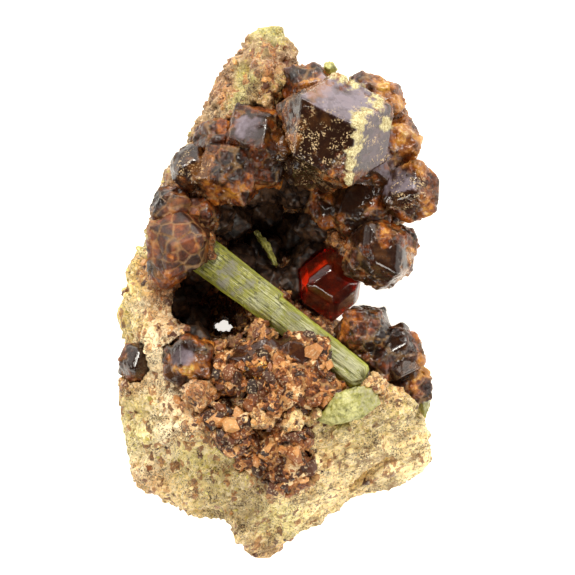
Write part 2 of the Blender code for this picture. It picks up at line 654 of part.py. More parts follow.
def rock():
    """The granular rock with its relief, ledges and pits, before the crystals' rooms are cut."""
    box = np.array((WIDTH, LENGTH, DEPTH))
    low = np.array((-WIDTH / 2, -LENGTH / 2, 0.0)) - GRID_MARGIN
    counts = ((box + 2 * GRID_MARGIN) / GRID_STEP).astype(int) + 1
    grid = np.stack(np.meshgrid(*[np.arange(count) for count in counts], indexing="ij"), axis=-1)
    bm = surface_mesh(rock_distance(grid * GRID_STEP + low), low, GRID_STEP)
    body = new_object("matrix", bm)
    even = body.modifiers.new("even", "REMESH")
    even.mode = "VOXEL"
    even.voxel_size = REMESH_STEP * METRES
    apply_modifiers(body)
    keep_largest(body)
    thin = body.modifiers.new("thin", "DECIMATE")
    thin.ratio = min(1.0, ROCK_TRIANGLES / (2 * len(body.data.polygons)))
    apply_modifiers(body)
    ground = bmesh.new()
    bmesh.ops.create_cube(ground, size=LENGTH * 2)
    bmesh.ops.translate(ground, verts=ground.verts, vec=(0, 0, REST_CUT - LENGTH))
    boolean(body, [as_helper(new_object("matrix.ground", ground))], "DIFFERENCE")
    return body


def cut_rooms(thing, cutters):
    """Cuts the room that its neighbours take out of a piece."""
    near = [cutter for cutter in cutters if boxes_meet(thing, cutter)]
    if near:
        boolean(thing, near, "DIFFERENCE")


def centre_on_origin():
    """Moves every piece alike, so that the box round the specimen is centred over the origin."""
    pieces = [thing for thing in bpy.data.objects if not thing.hide_render]
    boxes = [corners(piece) for piece in pieces]
    low = np.min([box[0] for box in boxes], axis=0)
    high = np.max([box[1] for box in boxes], axis=0)
    shift = Vector((-(low[0] + high[0]) / 2, -(low[1] + high[1]) / 2, -low[2]))
    for piece in pieces:
        piece.data.transform(Matrix.Translation(shift))


def main():
    clear_scene()
    epidote = material("epidote_green", (0.34, 0.42, 0.08), 0.35)
    garnet_brown = material("garnet_brown", (0.13, 0.035, 0.012), 0.22)
    garnet_glow = material("garnet_red_orange", (0.45, 0.04, 0.008), 0.12)
    skarn = material("granular_skarn", (0.55, 0.38, 0.19), 0.8)
    dark = material("pocket_garnet_dark", (0.05, 0.022, 0.012), 0.3)

    prism = epidote_prism()
    prism.data.materials.append(epidote)
    taken = prism_rooms()
    for name, points in EPIDOTE_CRYSTALS.items():
        crystal = hull(name, points)
        cut_rooms(crystal, taken)
        crystal.data.materials.clear()
        crystal.data.materials.append(epidote)
        taken.append(as_helper(hull(name + ".room", points, grow=GAP)))

    for name, crystals in GARNETS.items():
        solid, cutters = garnet_cluster(name, crystals)
        cut_rooms(solid, taken)
        keep_largest(solid)
        solid.data.materials.clear()
        solid.data.materials.append(garnet_glow if name == "garnet_red" else garnet_brown)
        taken.extend(cutters)

    crust = pocket_crust()
    cut_rooms(crust, taken)
    keep_largest(crust)
    crust.data.materials.clear()
    crust.data.materials.append(dark)

    body = rock()
    chance = np.random.default_rng(CRUST_SEED)
    grains = []
    for centre, size in ROCK_GARNETS:
        turn = tuple(chance.uniform(0, 90, 3))
        grains.append(as_helper(garnet("matrix.grain", centre, size, turn, 1.0)))
    boolean(body, grains, "UNION")
    hollows = [ellipsoid("matrix.hollow", centre, radii) for centre, radii in HOLLOWS.values()]
    cut_rooms(body, hollows + taken)
    keep_largest(body)
    body.data.materials.clear()
    body.data.materials.append(skarn)
    centre_on_origin()


main()
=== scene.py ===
"""Grossular garnet with epidote: the looks of a hand specimen of skarn that lies on its broken back."""

import json
import math

import bmesh
import bpy
import numpy as np
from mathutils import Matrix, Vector

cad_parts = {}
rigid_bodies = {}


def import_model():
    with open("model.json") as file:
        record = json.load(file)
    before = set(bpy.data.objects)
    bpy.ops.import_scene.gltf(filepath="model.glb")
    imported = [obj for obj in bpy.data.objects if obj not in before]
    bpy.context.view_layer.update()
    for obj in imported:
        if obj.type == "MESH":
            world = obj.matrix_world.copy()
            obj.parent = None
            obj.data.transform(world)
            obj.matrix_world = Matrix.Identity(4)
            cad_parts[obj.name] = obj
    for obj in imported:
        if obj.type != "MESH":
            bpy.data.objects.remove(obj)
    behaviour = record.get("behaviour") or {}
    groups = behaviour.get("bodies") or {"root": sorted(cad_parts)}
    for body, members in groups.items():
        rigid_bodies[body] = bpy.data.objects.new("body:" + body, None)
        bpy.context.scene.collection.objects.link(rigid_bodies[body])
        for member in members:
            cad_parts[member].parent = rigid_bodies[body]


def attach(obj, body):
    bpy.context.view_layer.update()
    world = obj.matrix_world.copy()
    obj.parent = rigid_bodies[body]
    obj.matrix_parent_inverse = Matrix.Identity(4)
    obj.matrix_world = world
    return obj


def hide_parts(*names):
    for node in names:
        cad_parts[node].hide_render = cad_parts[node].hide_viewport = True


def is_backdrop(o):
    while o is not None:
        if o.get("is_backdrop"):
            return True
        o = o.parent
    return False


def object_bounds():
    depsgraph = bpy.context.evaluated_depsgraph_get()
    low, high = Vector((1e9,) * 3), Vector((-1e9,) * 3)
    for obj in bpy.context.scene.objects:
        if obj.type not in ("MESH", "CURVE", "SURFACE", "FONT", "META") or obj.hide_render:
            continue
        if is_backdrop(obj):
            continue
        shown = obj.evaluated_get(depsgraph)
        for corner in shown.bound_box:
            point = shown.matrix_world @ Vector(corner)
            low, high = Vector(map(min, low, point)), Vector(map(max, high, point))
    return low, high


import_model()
cad_low, cad_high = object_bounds()


# The setting. The specimen lies on a white table under four soft lamps, in a light tent that is bright
# low down beyond its pointed top and at its right. The camera looks straight down through a long lens.
METRES = 0.001
PICTURE_CENTRE = Vector((1.06, 0.47, 12.0)) * METRES
PICTURE_WIDTH = 57.5 * METRES
CAMERA_DISTANCE = 0.85
TABLE_SIZE = 1.6
TABLE_DROP = 0.02 * METRES
TABLE_WHITE = (0.93, 0.92, 0.88, 1.0)
TABLE_GLOW = (1.0, 0.985, 0.93, 1.0)
# The tent's light all round, what it lacks overhead, and what it gains beyond the top and at the right.
TENT_LIGHT, OVERHEAD_LOSS, TOP_GAIN, RIGHT_GAIN = 0.09, 0.05, 1.7, 0.9
TENT_COLOUR = (1.0, 0.98, 0.94, 1.0)
LAMP_COLOUR = (1.0, 0.96, 0.88)
# Each lamp's name, place, width and power.
LAMPS = [
    ("key", (0.03, 0.40, 0.46), 0.24, 3.0),
    ("front", (-0.06, -0.40, 0.44), 0.3, 1.8),
    ("left", (-0.45, 0.05, 0.30), 0.3, 0.8),
    ("right", (0.40, -0.25, 0.25), 0.3, 0.6),
]

scene = bpy.context.scene
scene.view_settings.view_transform = "Standard"

camera_data = bpy.data.cameras.new("camera")
camera_data.lens = camera_data.sensor_width * CAMERA_DISTANCE / PICTURE_WIDTH
camera_data.clip_start = 0.01
camera_data.clip_end = 10.0
camera = bpy.data.objects.new("camera", camera_data)
camera.location = PICTURE_CENTRE + Vector((0, 0, CAMERA_DISTANCE))
scene.collection.objects.link(camera)
scene.camera = camera


class Wire:
    """A shader socket. Arithmetic on wires adds Math nodes, and node() adds any other node."""

    def __init__(self, tree, socket=None):
        self.tree = tree
        self.socket = socket

    def node(self, kind, settings=None, sockets=None, output=0):
        """Adds a node: its settings are set first, then the values or links of its sockets."""
        made = self.tree.nodes.new(kind)
        for name, value in (settings or {}).items():
            if name == "stops":
                ramp = made.color_ramp
                while len(ramp.elements) < len(value):
                    ramp.elements.new(0.5)
                for element, (place, colour) in zip(ramp.elements, value):
                    element.position = place
                    element.color = (*colour, 1.0)
            else:
                setattr(made, name, value)
        feed(made, self, sockets or {})
        return Wire(self.tree, made.outputs[output])

    def math(self, operation, *values, clamp=False):
        settings = {"operation": operation, "use_clamp": clamp}
        return self.node("ShaderNodeMath", settings, dict(enumerate(values)))

    def __add__(self, other):
        return self.math("ADD", self, other)

    def __sub__(self, other):
        return self.math("SUBTRACT", self, other)

    def __rsub__(self, other):
        return self.math("SUBTRACT", other, self)

    def __mul__(self, other):
        return self.math("MULTIPLY", self, other)

    __radd__ = __add__
    __rmul__ = __mul__

    def step(self, low, high):
        """0 below low, 1 above high and straight between them."""
        return self.math("MULTIPLY", self - low, 1 / (high - low), clamp=True)

    def mix(self, first, second):
        """A colour that goes from first to second as this wire goes from 0 to 1."""
        return self.node("ShaderNodeMix", {"data_type": "RGBA"}, {0: self, 6: first, 7: second}, 2)

    def ramp(self, stops):
        """The colour that this wire picks between a ramp's stops."""
        return self.node("ShaderNodeValToRGB", {"stops": stops}, {0: self})

    def vector(self, operation, *values):
        return self.node("ShaderNodeVectorMath", {"operation": operation}, dict(enumerate(values)))

    def scale(self, colour):
        """A colour or vector times this wire."""
        return self.node("ShaderNodeVectorMath", {"operation": "SCALE"}, {0: colour, 3: self})

    def bend(self, place, scale, reach):
        """Places shifted by noise of this scale, which makes the edges of cells waver."""
        noise = self.node("ShaderNodeTexNoise", {}, {"Vector": place, "Scale": scale, "Detail": 3.0}, 1)
        return self.vector("MULTIPLY_ADD", noise, (reach,) * 3, place)

    def bump(self, height, strength, depth, **normal):
        sockets = {"Height": height, "Strength": strength, "Distance": depth, **normal}
        return self.node("ShaderNodeBump", {}, sockets)

    def channel(self, colour, number):
        return self.node("ShaderNodeSeparateColor", {}, {0: colour}, number)

    def attribute(self, name, output=2):
        """What the mesh carries: output 0 is its colour, 1 its vector and 2 its number."""
        return self.node("ShaderNodeAttribute", {"attribute_name": name}, output=output)

    def place(self):
        return self.node("ShaderNodeTexCoord", output=3)

    def noise(self, place, size, detail=4.0, roughness=0.6):
        """Soft noise with features about this many millimetres across."""
        sockets = {"Vector": place, "Scale": 1 / (size * METRES), "Detail": detail, "Roughness": roughness}
        return self.node("ShaderNodeTexNoise", {}, sockets)

    def cells(self, place, size, feature="F1", output=1):
        """Grains about this many millimetres across: a colour of its own for each, or another output."""
        sockets = {"Vector": place, "Scale": 1 / (size * METRES)}
        return self.node("ShaderNodeTexVoronoi", {"feature": feature}, sockets, output)


def feed(node, wire, sockets):
    """Links wires to, or sets values on, a node's sockets."""
    for key, value in sockets.items():
        if isinstance(value, Wire):
            wire.tree.links.new(value.socket, node.inputs[key])
        else:
            node.inputs[key].default_value = value


world = bpy.data.worlds.new("light_tent")
world.use_nodes = True
scene.world = world
sky = Wire(world.node_tree)
direction = sky.node("ShaderNodeTexCoord")
east, north, height = (sky.node("ShaderNodeSeparateXYZ", {}, {0: direction}, axis) for axis in range(3))
low = 1 - height.step(0.45, 0.8)
top_light = TOP_GAIN * north.step(0.0, 0.9) * low
right_light = RIGHT_GAIN * east.step(0.3, 0.95) * low
brightness = TENT_LIGHT - OVERHEAD_LOSS * height.step(0.6, 0.95) + top_light + right_light
feed(world.node_tree.nodes["Background"], sky, {"Color": TENT_COLOUR, "Strength": brightness})

for name, place, size, power in LAMPS:
    light_data = bpy.data.lights.new(name, "AREA")
    light_data.shape = "DISK"
    light_data.size = size
    light_data.energy = power
    light_data.color = LAMP_COLOUR
    light = bpy.data.objects.new(name, light_data)
    light.location = place
    light.rotation_euler = (-Vector(place)).to_track_quat("-Z", "Y").to_euler()
    scene.collection.objects.link(light)


def finish(name):
    """A new material, its Principled shader, and a wire in its node tree."""
    made = bpy.data.materials.new(name)
    made.use_nodes = True
    return made, made.node_tree.nodes["Principled BSDF"], Wire(made.node_tree)


half = TABLE_SIZE / 2
table_corners = [(x, y, -TABLE_DROP) for x, y in ((-half, -half), (half, -half), (half, half), (-half, half))]
table_mesh = bpy.data.meshes.new("table")
table_mesh.from_pydata(table_corners, [], [(0, 1, 2, 3)])
table = bpy.data.objects.new("table", table_mesh)
scene.collection.objects.link(table)
table_finish, shader, wire = finish("table_white")
feed(shader, wire, {
    "Base Color": TABLE_WHITE, "Roughness": 0.6, "Emission Color": TABLE_GLOW, "Emission Strength": 0.8,
})
table_mesh.materials.append(table_finish)
table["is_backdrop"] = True


# The rock. It is granular skarn that broke round the crystals: small brown garnets set in cream and
# tan grains with olive-green patches, rough all over, with thin bedding ledges at its lower right.
ROCK_VOXEL = 0.27
NOISE_CELLS = 32
CREAM = (0.94, 0.76, 0.47)
SAND = (0.88, 0.65, 0.30)
TAN = (0.58, 0.36, 0.15)
DUST = (0.40, 0.25, 0.13)
PEACH = (0.78, 0.47, 0.20)
OLIVE = (0.58, 0.45, 0.19)
MOSS = (0.40, 0.37, 0.13)
GREY = (0.46, 0.35, 0.18)
LIME = (0.78, 0.66, 0.29)
YELLOW = (0.80, 0.60, 0.20)
STRAW = (0.97, 0.77, 0.40)
BROWN = (0.38, 0.22, 0.12)
RUST = (0.45, 0.17, 0.05)
# Umber is the darkest ground; in the zones in the pocket it is painted shade.
UMBER_AND_SHADE = (0.12, 0.05, 0.02)
# What the rock is made of where: x, y and reach in mm, the ground's colour, and the shares of brown
# garnet grains and of green epidote grains in it.
ROCK_ZONES = [
    (-0.6, 25.9, 1.6, MOSS, .05, .25), (-1.7, 25.0, 0.9, DUST, .3, .05), (-0.3, 24.0, 0.9, UMBER_AND_SHADE, .4, 0),
    (1.5, 24.6, 1.0, DUST, .2, 0), (0.7, 22.8, 1.1, BROWN, .4, .05), (-0.5, 21.6, 1.1, RUST, .6, 0),
    (-1.0, 20.6, 0.9, UMBER_AND_SHADE, .5, 0), (0.7, 20.7, 0.8, YELLOW, .2, .05), (-1.6, 19.4, 1.3, TAN, .35, .05),
    (-3.6, 23.6, 1.5, DUST, .25, 0), (-5.2, 21.8, 1.5, DUST, .3, 0), (-5.2, 20.5, 0.9, RUST, .6, 0),
    (-6.8, 18.6, 2.0, DUST, .4, .02), (-3.0, 21.4, 0.9, MOSS, .1, .3), (-3.7, 19.6, 1.0, MOSS, .15, .2),
    (1.5, 19.4, 1.6, UMBER_AND_SHADE, .7, 0), (-8.0, 16.4, 1.8, DUST, .35, .05), (-6.0, 16.8, 1.4, GREY, .35, .1),
    (-9.6, 14.4, 1.4, GREY, .35, .15), (-10.6, 12.4, 1.6, BROWN, .35, .1),
    (-12.2, 9.5, 1.2, LIME, .1, .5), (-13.2, 5.5, 1.2, LIME, .1, .5), (-10.5, 8.5, 2.0, RUST, .7, 0),
    (-14.6, 1.0, 1.6, YELLOW, .25, .1), (-12.6, 1.4, 1.6, RUST, .5, 0), (-15.0, -3.2, 1.6, YELLOW, .2, .15),
    (-13.6, -1.2, 0.9, CREAM, .15, 0), (-12.0, -0.6, 1.2, BROWN, .4, 0), (-12.2, -2.8, 1.4, PEACH, .25, 0),
    (-9.6, -3.6, 1.6, BROWN, .4, 0), (-11.4, -5.2, 2.0, CREAM, .12, 0), (-9.6, -5.4, 1.2, CREAM, .12, 0),
    (-10.8, -8.8, 2.0, CREAM, .1, 0), (-8.4, -9.4, 1.2, RUST, .65, 0), (-8.0, -11.6, 1.3, PEACH, .6, 0),
    (-10.2, -12.5, 2.0, CREAM, .12, 0), (-13.5, -8.5, 1.6, TAN, .4, .05),
    (-13.2, -11.8, 1.6, OLIVE, .35, .15),
    (-14.6, -14.8, 1.8, LIME, .08, .35), (-12.6, -16.6, 2.2, CREAM, .25, .1),
    (-12.8, -19.6, 2.0, PEACH, .3, 0),
    (-9.6, -20.8, 2.4, SAND, .25, .05), (-8.0, -16.6, 1.8, LIME, .15, .3), (-7.6, -10.4, 1.8, RUST, .75, 0),
    (-7.6, -13.6, 1.6, PEACH, .65, 0), (-6.4, -6.8, 1.8, RUST, .8, 0), (-6.6, -19.6, 2.4, OLIVE, .12, .2),
    (-4.8, -17.6, 2.0, OLIVE, .2, .25), (-3.4, -21.0, 2.4, GREY, .15, .15), (-3.8, -24.6, 1.8, SAND, .3, .05),
    (-1.2, -26.2, 2.0, TAN, .35, .02), (0.4, -22.6, 2.0, LIME, .12, .2), (-4.8, -10.6, 2.4, PEACH, .7, 0),
    (-1.0, -11.0, 3.2, PEACH, .65, 0), (2.8, -11.8, 2.6, SAND, .55, .02), (-1.5, -14.5, 2.6, TAN, .75, 0),
    (1.0, -17.2, 2.6, TAN, .8, 0), (4.6, -14.2, 1.8, SAND, .45, .1), (5.4, -13.4, 1.8, LIME, .1, .35),
    (8.4, -13.2, 2.0, OLIVE, .06, .3), (11.6, -12.4, 2.0, OLIVE, .08, .3), (7.0, -16.4, 2.8, STRAW, .08, .02),
    (11.0, -15.4, 2.8, STRAW, .05, .04), (14.4, -15.0, 1.8, STRAW, .08, .04),
    (13.6, -17.4, 2.0, STRAW, .08, .02),
    (4.0, -19.4, 2.6, STRAW, .15, .02), (8.4, -19.0, 2.2, SAND, .08, .04), (10.8, -20.0, 1.4, GREY, .06, .1),
    (5.6, -21.6, 2.0, SAND, .1, .1), (9.6, -8.6, 2.2, PEACH, .55, 0), (8.4, -10.0, 1.6, SAND, .4, .02),
    (12.2, -10.2, 1.8, PEACH, .3, .02), (14.9, -10.0, 1.6, LIME, .2, .4), (10.4, 20.6, 2.6, RUST, .6, 0),
    (12.4, 17.6, 2.2, RUST, .6, .02), (12.6, 13.0, 2.4, RUST, .6, 0), (11.6, 8.0, 2.0, GREY, .5, .2),
    # The umber zones on this line and the next lie in the pocket and under the big crystal: their dark ground
    # is painted shade.
    (7.0, 9.0, 3.0, UMBER_AND_SHADE, .7, .05), (4.6, 14.0, 3.0, UMBER_AND_SHADE, .8, 0), (0.0, 6.0, 5.5, UMBER_AND_SHADE, .8, 0),
    (-6.0, -1.5, 4.0, UMBER_AND_SHADE, .75, 0), (5.5, 0.0, 3.5, UMBER_AND_SHADE, .75, 0),
]
BACK_GROUND = (0.46, 0.34, 0.19)
# How far in mm the fine surface stands out to meet the crystals, and the size and height in mm of its
# lumps, chips and tooth, and of the wavering of the zones' borders, the beds and the crack.
ROCK_FILL = 0.10
LUMPS, COARSE_CHIPS, FINE_CHIPS, TOOTH = (1.9, 0.22), (1.25, 0.42), (0.62, 0.40), (0.55, 0.10)
BORDER_WAVES, BED_WAVES, CRACK_WAVES = (1.6, 0.8), (1.8, 0.35), (1.1, 0.25)
PIT_SIZE, PIT_DEPTH, PITLESS_SHARE = 0.9, 0.55, 0.72
BEDDING = np.array((0.36, -0.82, 0.44)) / math.hypot(0.36, 0.82, 0.44)
BED_SPACING, BED_DEPTH, BED_SMOOTHING = 1.15, 0.42, 0.6
BED_START, BED_FULL = 15.0, 22.0
CRACK_START, CRACK_END = np.array((7.3, -19.5)), np.array((11.3, -16.7))
CRACK_WIDTH, CRACK_DEPTH, CRACK_FLOOR = 0.34, 1.2, 4
# The relief fades out within so many mm of the table and of the box's sides.
TABLE_FADE, SIDE_FADE = 0.6, 1.2
SQUEEZE = 0.4


def fine_surface(node, detail, rounded=False):
    """An even fine surface over a welded copy of a CAD node, with quads this many mm wide: its points
    in mm and its quads. The rounded way softens the edges and the other keeps them sharp."""
    bm = bmesh.new()
    bm.from_mesh(bpy.data.objects[node].data)
    bmesh.ops.remove_doubles(bm, verts=bm.verts, dist=1e-6)
    bmesh.ops.scale(bm, vec=(1 / METRES,) * 3, verts=bm.verts)
    mesh = bpy.data.meshes.new("welded")
    bm.to_mesh(mesh)
    bm.free()
    copy = bpy.data.objects.new("welded", mesh)
    scene.collection.objects.link(copy)
    even = copy.modifiers.new("even", "REMESH")
    even.use_remove_disconnected = False
    if rounded:
        even.mode = "VOXEL"
        even.voxel_size = detail
    else:
        cells = max(copy.dimensions) / detail
        even.mode = "SHARP"
        even.octree_depth = math.ceil(math.log2(cells / 0.99))
        even.scale = cells / 2**even.octree_depth
    fine = bpy.data.meshes.new_from_object(copy.evaluated_get(bpy.context.evaluated_depsgraph_get()))
    points = np.empty(len(fine.vertices) * 3)
    fine.vertices.foreach_get("co", points)
    corners = np.empty(len(fine.loops), np.int64)
    fine.loops.foreach_get("vertex_index", corners)
    bpy.data.objects.remove(copy)
    bpy.data.meshes.remove(fine)
    bpy.data.meshes.remove(mesh)
    return points.reshape(-1, 3), corners.reshape(-1, 4)


def unit(vectors):
    """Vectors of length one in the same directions."""
    return vectors / np.maximum(np.linalg.norm(vectors, axis=-1, keepdims=True), 1e-9)


def outward(points, faces):
    """Each point's normal: the sum of the cross products of the diagonals of the faces round it."""
    quads = points[faces]
    across = np.cross(quads[:, 2] - quads[:, 0], quads[:, 3] - quads[:, 1])
    total = np.stack([
        sum(np.bincount(faces[:, corner], across[:, axis], len(points)) for corner in range(4))
        for axis in range(3)
    ], axis=1)
    return unit(total)


def soft_noise(points, size, seed):
    """Values from -1 to 1 that change smoothly over this distance: random ones on a lattice, blended."""
    lattice = np.random.default_rng(seed).uniform(-1, 1, (NOISE_CELLS,) * 3)
    place = points / size
    whole = np.floor(place).astype(int)
    part = place - whole
    part = part * part * (3 - 2 * part)
    total = np.zeros(len(points))
    for corner in np.ndindex(2, 2, 2):
        weight = np.prod(np.where(corner, part, 1 - part), axis=-1)
        index = (whole + corner) % NOISE_CELLS
        total += weight * lattice[index[:, 0], index[:, 1], index[:, 2]]
    return total


def grains(points, size, seed):
    """For each point: its distance from the middle of its grain and from the next one's, in grain
    sizes, its grain's own random value, and its height on its grain's one tilted face, in mm. Each
    cell of a lattice holds the middle of one grain, and a point belongs to the nearest."""
    chance = np.random.default_rng(seed)
    jitter = chance.uniform(0, 1, (NOISE_CELLS,) * 3 + (3,))
    tilt = unit(chance.normal(0, 1, (NOISE_CELLS,) * 3 + (3,)))
    value = chance.uniform(0, 1, (NOISE_CELLS,) * 3)
    place = points / size
    whole = np.floor(place).astype(int)
    nearest = np.full(len(points), 9.0)
    second = np.full(len(points), 9.0)
    own = np.zeros(len(points))
    lean = np.zeros(len(points))
    for shift in np.ndindex(3, 3, 3):
        cell = whole + np.array(shift) - 1
        index = tuple((cell % NOISE_CELLS).T)
        away = place - cell - jitter[index]
        distance = np.linalg.norm(away, axis=-1)
        closer = distance < nearest
        second = np.where(closer, nearest, np.minimum(second, distance))
        own = np.where(closer, value[index], own)
        lean = np.where(closer, (away * tilt[index]).sum(axis=-1) * size, lean)
        nearest = np.where(closer, distance, nearest)
    return nearest, second, own, lean


def waves(points, form, seed):
    """Soft noise of this size and height."""
    return form[1] * soft_noise(points, form[0], seed)


def chipped(points, form, seed):
    """The tilted faces of chips of this size and height."""
    return form[1] * grains(points, form[0], seed)[3]


def piece(name, points, faces, material, replaces=(), values=None, smooth=True):
    """A finished piece of the specimen from points in mm, riding on the whole, with values at its points."""
    mesh = bpy.data.meshes.new(name)
    mesh.vertices.add(len(points))
    mesh.vertices.foreach_set("co", (points * METRES).astype(np.float32).ravel())
    mesh.loops.add(faces.size)
    mesh.loops.foreach_set("vertex_index", faces.ravel().astype(np.int32))
    mesh.polygons.add(len(faces))
    mesh.polygons.foreach_set("loop_start", np.arange(len(faces), dtype=np.int32) * faces.shape[1])
    mesh.polygons.foreach_set("use_smooth", np.full(len(faces), smooth))
    mesh.update(calc_edges=True)
    for key, numbers in (values or {}).items():
        if numbers.ndim == 2:
            attribute = mesh.attributes.new(key, "FLOAT_COLOR", "POINT")
            rows = np.concatenate([numbers, np.ones((len(numbers), 1))], axis=1)
            attribute.data.foreach_set("color", rows.astype(np.float32).ravel())
        else:
            attribute = mesh.attributes.new(key, "FLOAT", "POINT")
            attribute.data.foreach_set("value", numbers.astype(np.float32))
    mesh.materials.append(material)
    made = bpy.data.objects.new(name, mesh)
    scene.collection.objects.link(made)
    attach(made, "root")
    if replaces:
        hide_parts(*replaces)
    return made


def rock_make_up(points, normals):
    """The ground's colour and the shares of garnet and green grains at each point: the zones blend by
    how near they are, along a wavy border, and the underside fades to plain rock."""
    colour = np.zeros((len(points), 3))
    garnet_share = np.zeros(len(points))
    green_share = np.zeros(len(points))
    weights = np.full(len(points), 1e-6)
    warped = points + np.stack([waves(points, BORDER_WAVES, seed) for seed in (21, 22, 23)], axis=1)
    for x, y, reach, ground, garnet_part, green_part in ROCK_ZONES:
        weight = np.exp(-(((warped[:, 0] - x) ** 2 + (warped[:, 1] - y) ** 2) / reach**2))
        colour += weight[:, None] * ground
        garnet_share += weight * garnet_part
        green_share += weight * green_part
        weights += weight
    under = np.clip((-normals[:, 2] + 0.1) / 0.5, 0, 1)
    colour = (colour / weights[:, None]) * (1 - under[:, None]) + under[:, None] * BACK_GROUND
    return colour, garnet_share / weights * (1 - 0.5 * under), green_share / weights


def how_bedded(points):
    """How clearly the beds show, from 0 to 1: they fade in along x minus y, in mm."""
    return np.clip((points[:, 0] - points[:, 1] - BED_START) / (BED_FULL - BED_START), 0, 1)


def rock_relief(points, normals):
    """How far each point of the rock moves out: lumps, two sizes of chips, tooth, small pits, thin beds
    that fade in towards the lower right, and one crack there."""
    height = waves(points, LUMPS, 32) + chipped(points, COARSE_CHIPS, 33)
    height += chipped(points, FINE_CHIPS, 34) + waves(points, TOOTH, 35)
    height = ROCK_FILL + height * (1 - BED_SMOOTHING * how_bedded(points))
    pitted = np.clip(soft_noise(points, 2.4, 36) * 2 + 0.4, 0, 1) * np.clip(normals[:, 2] + 0.6, 0, 1)
    near, _, own, _ = grains(points, PIT_SIZE, 37)
    height -= PIT_DEPTH * pitted * (own > PITLESS_SHARE) * np.clip(1.2 - near * 2.6, 0, 1)
    bed = (points + waves(points, BED_WAVES, 38)[:, None]) @ BEDDING / BED_SPACING
    height += how_bedded(points) * BED_DEPTH * (bed - np.floor(bed) - 0.5)
    run = CRACK_END - CRACK_START
    share = np.clip((points[:, :2] - CRACK_START) @ run / (run @ run), 0, 1)
    off = np.linalg.norm(points[:, :2] - CRACK_START - share[:, None] * run, axis=1)
    off = np.abs(off + waves(points, CRACK_WAVES, 39))
    height -= CRACK_DEPTH * np.clip(1.3 - off / CRACK_WIDTH, 0, 1) * (points[:, 2] > CRACK_FLOOR)
    return height


box_low, box_high = np.array(cad_low) / METRES, np.array(cad_high) / METRES


def keep_inside(points):
    """Points drawn in so that none passes the CAD part's box: what lies nearer to a side than the
    squeeze, or beyond it, is squeezed into that gap, and nothing goes below the table."""
    over = np.maximum(points - (box_high - SQUEEZE), 0)
    points = points - over + SQUEEZE * np.tanh(over / SQUEEZE)
    under = np.maximum(box_low + SQUEEZE - points, 0) * (1, 1, 0)
    points = points + under - SQUEEZE * np.tanh(under / SQUEEZE)
    return np.maximum(points, box_low)


rock_points, rock_faces = fine_surface("matrix", ROCK_VOXEL, rounded=True)
rock_normals = outward(rock_points, rock_faces)
above_table = np.clip(rock_points[:, 2] / TABLE_FADE, 0, 1)
inset = np.minimum(rock_points - box_low, box_high - rock_points)[:, :2].min(axis=1)
relief = rock_relief(rock_points, rock_normals) * above_table * np.clip(inset / SIDE_FADE, 0, 1)
rock_points = rock_points + rock_normals * relief[:, None]
rock_points = keep_inside(rock_points)
rock_colour, rock_garnet, rock_green = rock_make_up(rock_points, rock_normals)

# The rock's finish: a mosaic of grains, each a mineral by the shares above, with tooth and stains, dark
# specks of painted shade in pits and painted shade under the bed ledges.
GARNET_SHADES = [
    (0.0, (0.05, 0.016, 0.007)), (0.3, (0.19, 0.055, 0.015)), (0.65, (0.42, 0.15, 0.035)),
    (1.0, (0.75, 0.40, 0.13)),
]
GREEN_SHADES = [(0.0, (0.26, 0.20, 0.04)), (0.5, (0.57, 0.48, 0.10)), (1.0, (0.84, 0.74, 0.26))]
PALE_FLECK, RUSTY_FLECK = (0.95, 0.83, 0.58, 1.0), (0.52, 0.25, 0.08, 1.0)
# Pale gold: the rock's real seams, and painted glints on the garnets.
PALE_GOLD_AND_GLINT = (0.72, 0.52, 0.28, 1.0)
# Painted shade: a dark brown for shaded pits, and one for the shade under the bed ledges.
PIT_SHADE_BROWN, BED_LEDGE_SHADE = (0.09, 0.045, 0.018, 1.0), (0.30, 0.17, 0.07, 1.0)
# Sizes in mm of the coarse and fine grains, the specks and the stains.
COARSE_GRAIN, FINE_GRAIN, SPECK, STAIN = 0.62, 0.24, 0.16, 2.4
# The beds' run along the rock's lower right edge, and how much longer than thick a streak is.
BED_RUN = (0.92, 0.39, 0.0)
STREAK_STRETCH = 0.12


def bed_streaks(wire, place):
    """Fine noise drawn out along the beds: it changes fast across them and slowly along their run."""
    dot = {"operation": "DOT_PRODUCT"}
    across = wire.node("ShaderNodeVectorMath", dot, {0: place, 1: tuple(BEDDING)}, 1)
    along = wire.node("ShaderNodeVectorMath", dot, {0: place, 1: BED_RUN}, 1)
    drawn = wire.node("ShaderNodeCombineXYZ", {}, {0: across, 1: along * STREAK_STRETCH})
    return wire.noise(drawn, 0.55, 4.0, 0.65)


